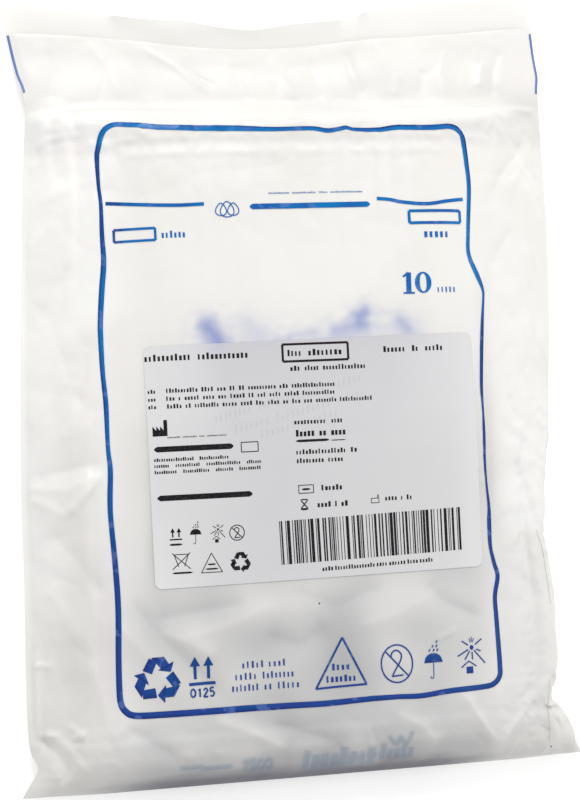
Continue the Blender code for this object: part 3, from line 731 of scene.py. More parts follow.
creaseRows = (
    # width, height (plus stands up, minus sinks), then across and up by turns
    (3.2, -0.9, -119, 138.5, -104, 141.5, -88.9, 144), (2.6, 0.8, -121, 134.5, -104, 133, -88.9, 140),
    (2.4, 1.5, -103.7, 122, -97, 130, -88, 140), (2.6, 1, -120, 130, -112, 126, -103.7, 121),
    (5.5, -1.5, -112, 116, -99.7, 100.4, -90.2, 86), (5.5, -1.5, -79.2, 84, -67.1, 68.6, -52, 52, -40, 38),
    (4.5, 0.9, -86, 74, -76, 64, -62, 44), (5.5, -1.5, -70, 75, -52, 77, -28, 80),
    (4.5, 1.3, -68, 70, -56, 65, -43, 57), (5, 1, -58, 66, -38, 70, -14, 79),
    (5.5, -1.1, -22, 66, -6, 60, 8, 68), (5.5, -1, -10, 84, 12, 76, 34, 84),
    (5, 0.9, 20, 66, 42, 71, 60, 82), (4, -1.3, 52, 84, 62, 74, 78, 66), (1.2, 0.6, 56, 58, 66, 62),
    (4.6, 1.8, -46, 30, -30, 24, -12, 14), (4.6, -1.5, -20, 27, 2, 19, 14, 12),
    (4.2, 1.5, 36, 27, 48, 20, 56, 10), (4.6, -1.4, -84, 30, -72, 22, -60, 12),
    (3.5, 0.9, -97, 60, -93, 40, -88, 22), (1, 1.2, -122, 57.5, -113, 56.9),
    (1, 1.2, -120.5, 26.5, -110, 27.5), (1.2, 1.5, -108, 32, -104.5, 28.5, -101, 25.5),
    (1, 1.3, -106.5, 25, -101, 29), (2.6, -1.8, -122.5, 27, -113.3, 20.4, -106, 9),
    (1.9, 1.4, -119, 30, -108, 22, -99, 8), (1.6, 1.1, -116, 14, -112, 7, -111, 2),
    (1.5, 0.9, -105, 14, -104, 6), (1.3, -0.9, 108.5, 34, 107.3, 26, 106.6, 18, 107.4, 8),
    (2.4, 1.4, 66, 35, 75.9, 20, 83.9, 7), (2.2, 1.6, 83.9, 7, 90, 15, 100, 27, 109, 38),
    (3.6, -0.6, 85.5, 5, 96, 12, 106.5, 19), (2.2, -0.5, 72, 16, 79, 8, 81, 2),
    (2, -1.1, 90.5, 225, 88, 205, 86.5, 170, 85, 130, 84, 100), (1.2, 0.6, 84, 190, 82, 150, 82.5, 118),
    (1.8, -1, 98, 138, 103, 122, 108.2, 104), (1.6, -0.8, 96.5, 166, 98.5, 160, 100.5, 152),
    (2.4, -0.9, 92.4, 223.6, 96, 232, 104, 242), (1.8, -0.8, 99, 284, 100.5, 296),
    (1.6, 0.7, 112, 282, 114, 292), (1.4, -1, 122.3, 231.5, 120, 200, 117.5, 160),
    (4.5, -0.9, -119, 200, -108, 214, -97, 232), (4, 0.8, -116, 236, -106, 250, -100, 270),
    (4, 0.8, -118, 160, -108, 172, -100, 190), (2.6, -0.7, -98, 168, -94, 182, -92, 200),
    (4, 0.9, -116, 92, -108, 82, -101, 66), (4, -0.8, -116, 76, -111, 62, -108, 44),
    # puckers under the head weld
    (1.7, 0.6, -108, 301, -107.5, 290, -106, 268), (1.6, -0.6, -103.5, 301, -103, 288, -102.5, 270),
    (1.7, 0.6, -99, 301, -98.5, 290, -97, 272), (1.8, -0.6, -94, 301, -93, 288, -92.5, 262),
    (2, 0.6, -88.5, 301, -88, 290, -87, 250), (2.6, -0.4, -60, 301, -58, 290, -57, 276),
    (2.6, 0.35, -45, 300, -44, 284, -46, 270), (1.6, -0.7, 37, 300, 44, 293),
    (1.5, 0.8, 8, 301, 26, 296, 40, 291.5), (2.2, 0.6, 38, 302, 39.5, 284, 40, 252),
    (2, -0.6, 43.5, 302, 44.5, 284, 45, 250), (2.4, 0.45, 50, 302, 50.5, 286, 51, 262),
    (1.8, -0.5, 60, 300, 61, 289, 62, 278), (1.8, 0.4, 72, 300, 73, 288),
    (2.3, -1, 113.5, 298, 114.5, 285, 108, 275, 99, 266, 93, 252),
    (2, 0.7, 117, 296, 118, 282, 112, 270, 103, 260), (2, 0.6, 102, 300, 100, 284, 96, 272),
    # long creases of the open header
    (1.6, 0.8, -61.2, 331, -46, 322, -31.5, 309), (1.2, -0.6, -43.4, 322.9, -37.4, 317.5, -28, 312),
    (2.4, -0.8, -19.1, 324.4, -17, 314, -14.9, 304), (3.2, -1, 34, 330, 36, 318, 40, 305),
    (2.6, 0.8, 58, 318, 55, 306), (2.2, -0.6, 70, 320, 66, 306), (2, 0.7, 98, 322, 96, 310),
    (3.4, -0.7, -104, 331, -101, 318, -103, 305), (3.8, 0.7, -86, 334, -76, 322, -70, 306),
    (3.2, -0.6, -70, 330, -62, 318, -58, 306), (2.6, 0.7, -4, 326, 4, 314, 8, 304),
    (3.6, -0.5, 16, 326, 20, 304), (2.6, 0.9, 47, 336, 49, 320, 51, 304),
    (2.4, 0.7, 82, 330, 78, 318, 80, 305), (2.6, -0.7, 108, 330, 103, 318, 101, 304),
)
creases = [(tuple(zip(row[2::2], row[3::2])), row[0], row[1]) for row in creaseRows]
creaseReach = 25


def billow(across, up):
    # air under the film, between the label and the foot
    loose = between(up, 14, 34) * between(up, 92, 74) * between(abs(across), 104, 84)
    return loose * (1.2 + wander(across / 33, up / 25, 14))


def creaseHeight(across, up):
    raised = billow(across, up)
    place = Vector((across, up))
    for path, width, height in creases:
        low, high = path[0], path[-1]
        if not (min(low[0], high[0]) - creaseReach < across < max(low[0], high[0]) + creaseReach
                and min(low[1], high[1]) - creaseReach < up < max(low[1], high[1]) + creaseReach):
            continue
        best, bestShare = 1000, 0
        for index in range(len(path) - 1):
            start, run = Vector(path[index]), Vector(path[index + 1]) - Vector(path[index])
            share = clamp((place - start).dot(run) / run.length_squared)
            off = (place - start - run * share).length
            if off < best:
                best, bestShare = off, (index + share) / (len(path) - 1)
        fade = min(1, 6 * bestShare + 0.15, 6 * (1 - bestShare) + 0.15)
        raised += height * fade * math.exp(-(best / width) ** 1.25)
    return raised


def inLabel(across, up):
    # millimetres inside the label's edge
    middle = label["centre"]
    return min(label["width"] / 2 - abs(across - middle[0]), label["height"] / 2 - abs(up - middle[1]))


def looseness(across, up):
    # nought where the label or the stack holds the film flat, one where it lies loose
    sides = between(abs(across), 74, 100)
    ends = max(between(up, 60, 15), between(up, 215, 260) * 0.7)
    calm = 1 - 0.55 * between(across, 55, 85) * between(up, 90, 55)
    return max(sides, ends) * (1 - between(inLabel(across, up), -6, 0)) * calm


def ripple(across, up):
    # small creases that run at random, seeded by their place
    spot = Vector((across / 26, up / 34, 3.7))
    value = noise.ridged_multi_fractal(spot, 0.9, 2.1, 4, 1, 2)
    broad = wander(across / 30, up / 42, 9.1)
    cells = noise.voronoi(Vector((across / 19 + broad, up / 27, 2)))[0]
    facets = min(cells[1] - cells[0], 0.5)
    fine = noise.ridged_multi_fractal(Vector((across / 11, up / 15, 6.3)), 0.8, 2.2, 3, 1, 2)
    return (value - 1.1) * 0.28 + (fine - 1.1) * 0.16 + broad + facets * 1.4


print("pouch")
contentsBm = bmesh.new()
for thing in inside:
    contentsBm.from_mesh(thing.data)
contentsTree = treeOf(contentsBm)
contentsBm.free()


def keepOver(bm, front):
    # the front stays over the contents and the back under them, off the table
    for vert in innerVerts(bm):
        if front:
            under = drop(contentsTree, vert.co.x, vert.co.y)
            if under is not None:
                vert.co.z = max(vert.co.z, under + pouch["over"] * mm)
        else:
            over = lift(contentsTree, vert.co.x, vert.co.y)
            if over is not None:
                vert.co.z = min(vert.co.z, over - pouch["under"] * mm)
            vert.co.z = max(vert.co.z, pouch["offTable"] * mm)


def filmSheet(front):
    bm = sheet(pouch["columns"], filmRows, lambda a, b: filmPlace(a, b, front))
    inner = innerVerts(bm)
    smoothHeights(bm, inner, 8)
    keepOver(bm, front)
    smoothHeights(bm, inner, 2)
    smoothHeights(bm, [vert for vert in inner if placeOf(vert)[1] < 24], 6)
    keepOver(bm, front)
    if not front:
        for face in bm.faces:
            face.normal_flip()
    return bm


def crease(thing, front):
    # folds and small creases over the settled film
    bm = bmesh.new()
    bm.from_mesh(thing.data)
    if front:
        bmesh.ops.subdivide_edges(bm, edges=bm.edges[:], cuts=1, use_grid_fill=True)
        smoothHeights(bm, innerVerts(bm), 1)
    for vert in innerVerts(bm):
        across, up = placeOf(vert)
        left, right = edges(up)
        near = between(min(across - left, right - across), 0, 5) * between(up, 0, 5)
        if front:
            stir = ripple(across, up) * looseness(across, up) * (1 if up < 300 else 0.55)
            vert.co.z += (creaseHeight(across, up) + stir) * near * mm
        else:
            stir = wander(across / 30, up / 30, 20)
            vert.co.z += max(stir, 0) * near * 0.4 * mm
    keepOver(bm, front)
    if front:
        for vert in innerVerts(bm):
            if placeOf(vert)[1] > pouch["weldTo"]:
                backLevel = lift(pouchTree, vert.co.x, vert.co.y)
                if backLevel is not None:
                    vert.co.z = max(vert.co.z, backLevel + pouch["layers"] * mm)
    bm.to_mesh(thing.data)
    bm.free()


frontFilm = finish("pouchFront", filmSheet(True), filmMaterial)
backFilm = finish("pouchBack", filmSheet(False), filmMaterial)


settling = {
    "quality": 6, "mass": 0.05, "tension_stiffness": 25, "compression_stiffness": 25,
    "shear_stiffness": 12, "bending_stiffness": 0.4, "bending_stiffness_max": 30,
    "vertex_group_bending": "stiff", "tension_damping": 8, "compression_damping": 8,
    "shear_damping": 8, "bending_damping": 1, "air_damping": 3, "vertex_group_mass": "held",
    "pin_stiffness": 2, "vertex_group_shrink": "spare", "shrink_min": 0, "shrink_max": -0.022,
}
clearance = 0.0004
formDrop = 0.0012
furthest = 6 * mm


def settle(film):
    # the film has a little length to spare, so it buckles between its welds and the flat label
    coarse = sheet(70, 90, lambda a, b: filmPlace(a, b * bodyShare, True) - Vector((0, 0, formDrop)))
    form = finish("contentsForm", coarse, filmMaterial)
    form.modifiers.new("hit", "COLLISION")
    form.collision.thickness_outer = clearance
    form.collision.thickness_inner = 0.002
    form.collision.cloth_friction = 3
    held = film.vertex_groups.new(name="held")
    spare = film.vertex_groups.new(name="spare")
    stiff = film.vertex_groups.new(name="stiff")
    for vert in film.data.vertices:
        across, up = placeOf(vert)
        left, right = edges(min(max(up, 0), 349))
        hold = max(1 - between(min(across - left, right - across), 0.5, 5),
                   1 - between(up, 1, 6), between(up, 296, 299.5))
        stuck = between(inLabel(across, up), -4, 1)
        slack = 0.25 + 0.75 * between(abs(across), 60, 100)
        slack = max(slack, 0.8 * between(up, 40, 10)) * (1 - 0.8 * between(up, 230, 270))
        held.add([vert.index], hold, "REPLACE")
        spare.add([vert.index], slack * (1 - stuck), "REPLACE")
        stiff.add([vert.index], stuck, "REPLACE")
    cloth = film.modifiers.new("settle", "CLOTH")
    rules = cloth.settings
    for name, value in settling.items():
        setattr(rules, name, value)
    cloth.collision_settings.use_self_collision = False
    cloth.collision_settings.distance_min = clearance
    cloth.collision_settings.collision_quality = 2
    rules.effector_weights.gravity = 0.4
    cloth.point_cache.frame_start = 1
    cloth.point_cache.frame_end = 30
    for step in range(1, 26):
        bpy.context.scene.frame_set(step)
    shape = film.evaluated_get(bpy.context.evaluated_depsgraph_get())
    moved = [vert.co.copy() for vert in shape.data.vertices]
    film.modifiers.remove(cloth)
    for vert, place in zip(film.data.vertices, moved):
        shift = place - vert.co
        if shift.length > furthest:
            shift.length = furthest
        vert.co = vert.co + shift
    bpy.data.objects.remove(form)


settle(frontFilm)
crease(frontFilm, True)
crease(backFilm, False)
print("film settled")


def paint(thing, name, value):
    # a mask kept on the mesh, point by point
    mask = thing.data.attributes.new(name, "FLOAT", "POINT")
    for vert in thing.data.vertices:
        mask.data[vert.index].value = value(vert)


capGhosts = (
    # where the caps lie close under the film: start, end, reach, strength
    ((-40.8, 201), (-36, 194), 4, 0.68), ((-23, 202), (-18, 197), 4.2, 0.17),
    ((27, 203), (30, 205), 3.3, 0.6), ((16, 197.2), (30, 199), 3.2, 0.44),
    ((45.5, 200.6), (49, 196.6), 3, 0.4), ((-3, 195.9), (6, 196.2), 2, 0.24),
    ((-9.5, 194), (-5, 194.5), 1.7, 0.2), ((-36, 188), (-31, 160), 4, 0.14),
    ((-42, 196.5), (-14, 193.5), 7, 0.13), ((8, 193.5), (52, 195.5), 7, 0.15),
)


def ghost(vert):
    # blue of the caps, blurred by the milky film over them
    across, up = placeOf(vert)
    if not 150 < up < 220:
        return 0
    blur = 1.15 + 0.5 * wander(across / 5, up / 3.5, 7)
    clear = 1
    for start, end, reach, strength in capGhosts:
        run = Vector(end) - Vector(start)
        away = Vector((across, up)) - Vector(start)
        share = clamp(away.dot(run) / run.length_squared)
        clear *= 1 - strength * math.exp(-((away - run * share).length / reach / blur) ** 1.7)
    return 1 - clear


def faded(vert):
    # the bag's print, seen through the foot
    if placeOf(vert)[1] > 24:
        return 0
    off = footTree.find_nearest(Vector((vert.co.x, vert.co.y, 0)))[3] / mm
    return 0.4 * math.exp(-(off / 0.8) ** 2)


# how grey the film looks over the stack, and in the header, where it is partly its two layers and partly
# painted shade, by places up
stackTone = ((0, 0.7), (20, 0.69), (38, 0.7), (52, 0.66), (70, 0.6), (85, 0.58), (110, 0.52),
             (150, 0.4), (190, 0.14), (215, 0.03), (240, 0), (350, 0))
headTone = ((0, 0), (277, 0), (284, 0.16), (292, 0.16), (297, 0.13), (303, 0.17), (311, 0.2),
            (318, 0.15), (327, 0.07), (350, 0.04))


def backing(vert):
    # how near the contents lie behind the film
    under = drop(contentsTree, vert.co.x, vert.co.y)
    return 0 if under is None else math.exp(-max(vert.co.z - under, 0) / (4 * mm))


def shade(vert):
    # the grey stack shows through where the film lies on it, and painted shade is added in creases, beside
    # the label and over the header
    across, up = placeOf(vert)
    amount = through(stackTone, up)
    ends = between(up, 60, 30) * between(abs(across - 15), 30, 62)
    side = between(abs(across), 98, 72) * (1 - 0.3 * ends)
    drift = 1 + 0.35 * wander(across / 24, up / 19, 5)
    # less of it where the film stands clear, more where it sinks: partly the stack showing through, partly
    # painted shade in the creases
    touchAndCreaseShade = 1 - 0.17 * min(max(creaseHeight(across, up) - 0.4, -1.5), 1.8)
    pocket = between(across, -97, -86) * between(across, -66, -74) * between(up, 76, 104)
    amount *= (0.28 + 0.72 * side) * drift * touchAndCreaseShade * (1 - 0.6 * pocket)
    middle = between(abs(across - 4), 64, 38) * between(up, 22, 34) * between(up, 80, 62)
    amount *= 1 + 0.22 * middle
    # painted shade of the creases in the margins below the label
    low = between(up, 102, 88)
    amount += 0.13 * low * between(across, -112, -102) * between(across, -80, -90)
    amount += 0.09 * low * between(across, 82, 92) * between(across, 114, 104)
    # painted shade along the crease beside the label's right edge
    paintedCreaseShade = 0.1 * math.exp(-((across - 84.5) / 3.6) ** 2) * between(up, 100, 125) * between(up, 226, 205)
    # the header is greyer: partly its two layers of film, partly painted shade that holds down the strong
    # light there
    layersAndShade = through(headTone, up) * (1 + 0.5 * wander(across / 18, up / 14, 8))
    return min(amount + paintedCreaseShade + layersAndShade, 1)


def thin(vert):
    # whiter where the film lies over nothing, in the header and down the left side
    across, up = placeOf(vert)
    inward = between(up, 190, 215)
    side = between(across, -98 + 36 * inward, -112 + 26 * inward) * between(up, 50, 100)
    other = between(across, 86, 96) * between(up, 98, 110) * between(up, 185, 155)
    return max(0.12 * between(up, 316, 328), 0.75 * side * between(up, 306, 296), 0.6 * other)


def backThin(vert):
    # the back shows beyond the front's lip
    return 0.24 * between(placeOf(vert)[1], 318, 328)


def footShade(vert):
    # painted shade where the film turns under at the foot, strongest across its middle
    across, up = placeOf(vert)
    spread = 0.16 + 0.84 * between(across, -112, -58) * between(across, 92, 50)
    start = 9 + 4 * wander(across / 17, up / 20, 0.4)
    return 0.78 * spread * between(up, start, 1.5) + 0.22 * spread * between(up, start + 8, start)


for piece in (frontFilm, backFilm):
    paint(piece, "ghost", ghost)
    paint(piece, "faded", faded)
    paint(piece, "backing", backing)
    paint(piece, "shade", shade if piece is frontFilm else lambda vert: 0)
    paint(piece, "footShade", footShade)
    paint(piece, "thin", thin if piece is frontFilm else backThin)
    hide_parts("pouch_film")
    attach(piece, "root")
frontTree = meshTree(frontFilm)


# blue print of the film, laid down on it
bluePrint = {
    "lift": 0.2, "frameWidth": 2, "ruleWidth": 1.55,
    # the frame line as it lies on the creased film: across, up, width
    "frame": (
        (-84, 280.8, 2.2), (-84.6, 276.5, 2), (-84.5, 265.4, 1.5), (-83.9, 256.5, 1.6), (-84, 243.3, 1.9),
        (-83.8, 231, 2.3), (-85.1, 219.3, 2.4), (-86.4, 205.3, 2.3), (-86.6, 195.3, 2.2),
        (-86.4, 182.2, 2), (-85.7, 169.1, 2.1), (-85.7, 150.8, 1.8), (-85.1, 140.8, 2.2),
        (-85.8, 127.8, 2.3), (-85.8, 119.1, 2.2), (-84.8, 99.6, 2.4), (-84.4, 82.3, 2.5), (-85.2, 63, 2.5),
        (-85.6, 45.8, 2.6), (-85.2, 40.2, 2.7), (-83.5, 36.9, 2.7), (-79.6, 34.7, 2.8), (-68.4, 34.2, 2.8),
        (-50.9, 34, 2.8), (-31.1, 34, 2.8), (-11.1, 33.8, 2.7), (6.9, 33.5, 2.6), (25.1, 34.1, 2.4),
        (36.9, 34.1, 2.2), (47.9, 33.8, 2.3), (61.9, 35, 2.4), (76.5, 35.5, 2.4), (81.6, 36.4, 2.4),
        (84.7, 39.4, 2.4), (85.3, 45, 2.3), (84.8, 64.6, 2.1), (84.6, 73.6, 2), (85.2, 78.1, 2),
        (86.8, 84.7, 2), (85.6, 90.2, 1.8), (84.4, 96.1, 1.6), (84.1, 100.7, 1.8), (84.2, 109.7, 1.9),
        (84.4, 116.5, 1.3), (83.5, 127.8, 1.2), (83, 136.9, 1.4), (83.2, 150.4, 1.5), (83.1, 159.4, 1.1),
        (83, 170.7, 1.6), (84.3, 186.5, 1.9), (85.4, 197.9, 1.7), (86.7, 209.3, 1.2), (86.7, 213.8, 1.4),
        (84, 220.6, 2.2), (80.4, 229.6, 1.9), (80.5, 238.8, 1.8), (82.2, 257.1, 2), (82.4, 264, 2.1),
        (81.7, 273.1, 2.3), (80.9, 281, 2.5), (79.3, 285.6, 2.4), (75, 287.8, 2.4), (64.7, 287.1, 2.4),
        (48.4, 287.2, 2.3), (39.6, 286.2, 2), (28.7, 286.7, 1.5), (26, 287.5, 1.8), (18, 286.2, 2),
        (9.6, 287.3, 1.9), (-8.4, 287.1, 2), (-21.8, 287.7, 2.6), (-39.5, 288.1, 2.6), (-57, 288.9, 2.5),
        (-69.6, 290.6, 2.5), (-77, 291.2, 2.4), (-81.6, 288.2, 2.4),
    ),
    "rules": (((-81.9, 256.6), (-67.2, 255.1), (-52.2, 254.2), (-39.6, 254.5)),
              ((37.9, 255.2), (44.3, 254.6), (49.7, 253.4), (61.2, 252.5), (70.1, 253.7), (78.9, 254.8))),
    # three rings that overlap: across from their middle, size
    "rings": ((-2.7, 0.8), (2.7, 0.8), (0, 1)), "ringMiddle": (-29.5, 251.9),
    # start, end, up, height, lengths of the words, gap, weight, slope
    "words": (
        (-10.8, 31.7, 258.6, 0.8, (7, 8, 3, 11)), (-58.9, -47.9, 241.6, 3, (1,), 1.3, 0.5),
        (58.6, 71.3, 239.2, 3.6, (1,), 1.3, 0.5), (63.6, 73.2, 214.2, 3, (1,), 1.3, 0.35),
        (-32, -11.9, 53, 2.9, (5, 4), 1.4, 0.36), (-35.3, -8.6, 48, 2.9, (5, 7), 1.8, 0.36),
        (-36.9, -6.2, 43.1, 2.9, (6, 2, 5), 1.8, 0.36), (8, 16.6, 49.2, 2.9, (1,), 1.3, 0.5),
        (5.2, 19.4, 44, 2.9, (1,), 1.3, 0.5),
    ),
    # start, end, up, height
    "bars": (
        (-19.4, 34.6, 252.8, 2.4),
    ),
    # left, low, right, high, width
    "boxes": (
        (-79, 239.4, -61.4, 244.6, 1.1), (52.4, 244, 76.8, 249.4, 1.3),
    ),
    # width, then points
    "lines": (
        (2.3, (50.4, 212.9), (50.6, 221.8)), (0.8, (47.9, 212.7), (53.1, 212.6)),
        (0.9, (48, 220), (50.6, 221.7)), (0.9, (13.4, 61.9), (0.5, 40.2)),
        (0.9, (0.3, 40.2), (23.6, 40.7)), (0.9, (23.4, 40.7), (13.4, 61.9)),
    ),
}


def arrowLoop(bm, across, up, radius):
    # three bent arrows that chase each other round a triangle
    def quad(corners, angle):
        turned = []
        for x, y in corners:
            spot = Matrix.Rotation(math.radians(angle), 2) @ Vector((x, y))
            turned.append(Vector((across, up)) + spot * radius)
        band(bm, lambda a: turned[0].lerp(turned[1], a), lambda a: turned[3].lerp(turned[2], a), 4, 3)

    for angle in (0, 120, 240):
        quad(((-0.66, 0.45), (-0.36, 1), (0, 0.84), (-0.25, 0.28)), angle)
        quad(((-0.26, 1.02), (0.33, 1.02), (0.56, 0.66), (0.17, 0.5)), angle)
        quad(((0.02, 0.44), (0.76, 0.78), (0.62, 0.36), (0.58, 0.33)), angle)


def upArrows(bm, left, low, right, high, width):
    # two upright arrows on a base line
    stroke(bm, ((left, low), (right, low)), width)
    for across in (left + (right - left) * 0.25, left + (right - left) * 0.75):
        stroke(bm, ((across, low + width * 1.6), (across, high - width * 2.2)), width)
        band(bm, lambda a: (across - width * 1.7 * (1 - a), high - width * 3.2 * (1 - a)),
             lambda a: (across + width * 1.7 * (1 - a), high - width * 3.2 * (1 - a)), 3, 2)


def arch(share):
    # the height of a half circle at a share of its width
    return math.sqrt(max(1 - (2 * share - 1) ** 2, 0))


def umbrella(bm, across, up, size, width):
    # a dome on a hooked stem, with rain above
    band(bm, lambda a: (across + size * (2 * a - 1), up),
         lambda a: (across + size * (2 * a - 1), up + size * 0.97 * arch(a)), 14, 4)
    stem = ((0, 0), (-0.03, -1.25), (-0.1, -1.6), (-0.3, -1.62), (-0.36, -1.4))
    stroke(bm, [(across + x * size, up + y * size) for x, y in stem], width)
    for side, high in ((-0.45, 1.15), (0, 1.15), (0.4, 1.15), (-0.1, 1.55), (0.32, 1.55), (0.35, 2)):
        foot = (across + side * size, up + high * size)
        stroke(bm, (foot, (foot[0] + 0.16 * size, foot[1] + 0.26 * size)), width * 1.4)


def sunShelter(bm, across, up, size, width):
    # a sun whose rays stop at a pitched shelter over a block
    def disc(share, side):
        return across + 0.15 * size * (2 * share - 1), up + side * 0.17 * size * arch(share)

    band(bm, lambda a: disc(a, -1), lambda a: disc(a, 1), 8, 2)
    middle = Vector((across, up))
    rays = ((37, 0.33, 0.97), (76, 0.38, 0.68), (90, 0.4, 0.76), (103, 0.38, 0.68), (145, 0.31, 0.88),
            (208, 0.29, 1.22), (237, 0.3, 1.02), (272, 0.31, 0.86), (309, 0.28, 1.52), (336, 0.36, 0.73))
    for angle, start, end in rays:
        heading = Vector((math.cos(math.radians(angle)), math.sin(math.radians(angle)))) * size
        thinner = 0.65 if 70 < angle < 110 else 1
        stroke(bm, (middle + heading * start, middle + heading * end), width * thinner)
    roof = ((-0.84, -1.4), (-0.27, -0.96), (0.29, -1.36))
    stroke(bm, [(across + x * size, up + y * size) for x, y in roof], width, smoothed=False)
    band(bm, lambda a: (across + (0.5 * a - 0.47) * size, up - 1.84 * size),
         lambda a: (across + (0.5 * a - 0.47) * size, up - 1.36 * size), 3, 3)


def crossedRing(bm, across, up, radiusX, radiusY, width):
    # a barred ring round a plain figure
    ring(bm, across, up, radiusX, radiusY, width)
    reachX, reachY = radiusX * 0.72, radiusY * 0.7
    stroke(bm, ((across - reachX, up + reachY), (across + reachX, up - reachY)), width)
    figure = ((-0.36, 0.3), (-0.3, 0.58), (0, 0.72), (0.3, 0.5), (0.24, 0.16), (-0.1, -0.3), (-0.34, -0.66))
    points = [(across + x * radiusX, up + y * radiusY) for x, y in figure]
    stroke(bm, points, width)
    stroke(bm, (points[-1], (across + 0.38 * radiusX, up - 0.62 * radiusY)), width)


def makeBluePrint(filmTree):
    bm = bmesh.new()
    stroke(bm, bluePrint["frame"], bluePrint["frameWidth"], closed=True, layers=4)
    for rule in bluePrint["rules"]:
        stroke(bm, rule, bluePrint["ruleWidth"], layers=2)
    middle, level = bluePrint["ringMiddle"]
    for spread, size in bluePrint["rings"]:
        points = [(middle + spread + 2.9 * size * math.cos(a) * (1 - 0.35 * math.sin(a)),
                   level + 3.4 * size * math.sin(a)) for a in turns(24)]
        stroke(bm, points, 0.45, closed=True, smoothed=False)
    # plain words and boxes, the strokes of the count and a triangle
    drawTables(bm, bluePrint)
    zero = [(57.2 + 2.7 * math.cos(a), 217.2 + 4.4 * math.sin(a), 1.5 + 0.8 * math.cos(2 * a))
            for a in turns(28)]
    stroke(bm, zero, 1.5, closed=True, smoothed=False)
    # handling marks
    arrowLoop(bm, -69, 49.2, 9.6)
    upArrows(bm, -55.4, 46.2, -43.8, 58, 1.3)
    drawNumber(bm, "0125", -54.8, 40.5, 3.6, 0.75)
    crossedRing(bm, 37.5, 48.7, 7.1, 8.3, 0.65)
    umbrella(bm, 54.3, 48, 4.3, 0.4)
    sunShelter(bm, 72.4, 53.4, 6.2, 0.55)
    # marks on the header's side folds
    for side, inset in enumerate((0.6, -0.8)):
        stroke(bm, [(edges(up)[side] + inset, up) for up in range(310 - 3 * side, 338, 3)], 1.1, layers=2)
    layOn(bm, filmTree, bluePrint["lift"])
    return bm


def makeLabel(filmTree):
    bm = bmesh.new()
    bmesh.ops.create_grid(bm, x_segments=label["columns"], y_segments=label["rows"], size=0.5)
    width, height, corner = (label[key] * mm for key in ("width", "height", "corner"))
    bmesh.ops.scale(bm, verts=bm.verts, vec=(width, height, 1))
    for sideX in (-1, 1):
        for sideY in (-1, 1):
            cutCorner(bm, (sideX, sideY), width, height, corner, range(15, 90, 15))
    bmesh.ops.rotate(bm, verts=bm.verts, matrix=Matrix.Rotation(math.radians(label["turn"]), 3, "Z"))
    bmesh.ops.translate(bm, verts=bm.verts, vec=at(*label["centre"]))
    layOn(bm, filmTree, label["lift"])
    smoothHeights(bm, innerVerts(bm), 4)
    bmesh.ops.solidify(bm, geom=bm.faces[:], thickness=-label["thickness"] * mm)
    for edge in bm.edges:
        edge.smooth = edge.calc_face_angle(0) < 0.7
    return bm


def labelShade(vert):
    # the paper looks greyer over the stack and clears towards its sides
    across, up = placeOf(vert)
    upper = 0.15 * between(up, 145, 178) * between(abs(across - 5), 55, 30)
    return through(label["tone"], across) + upper


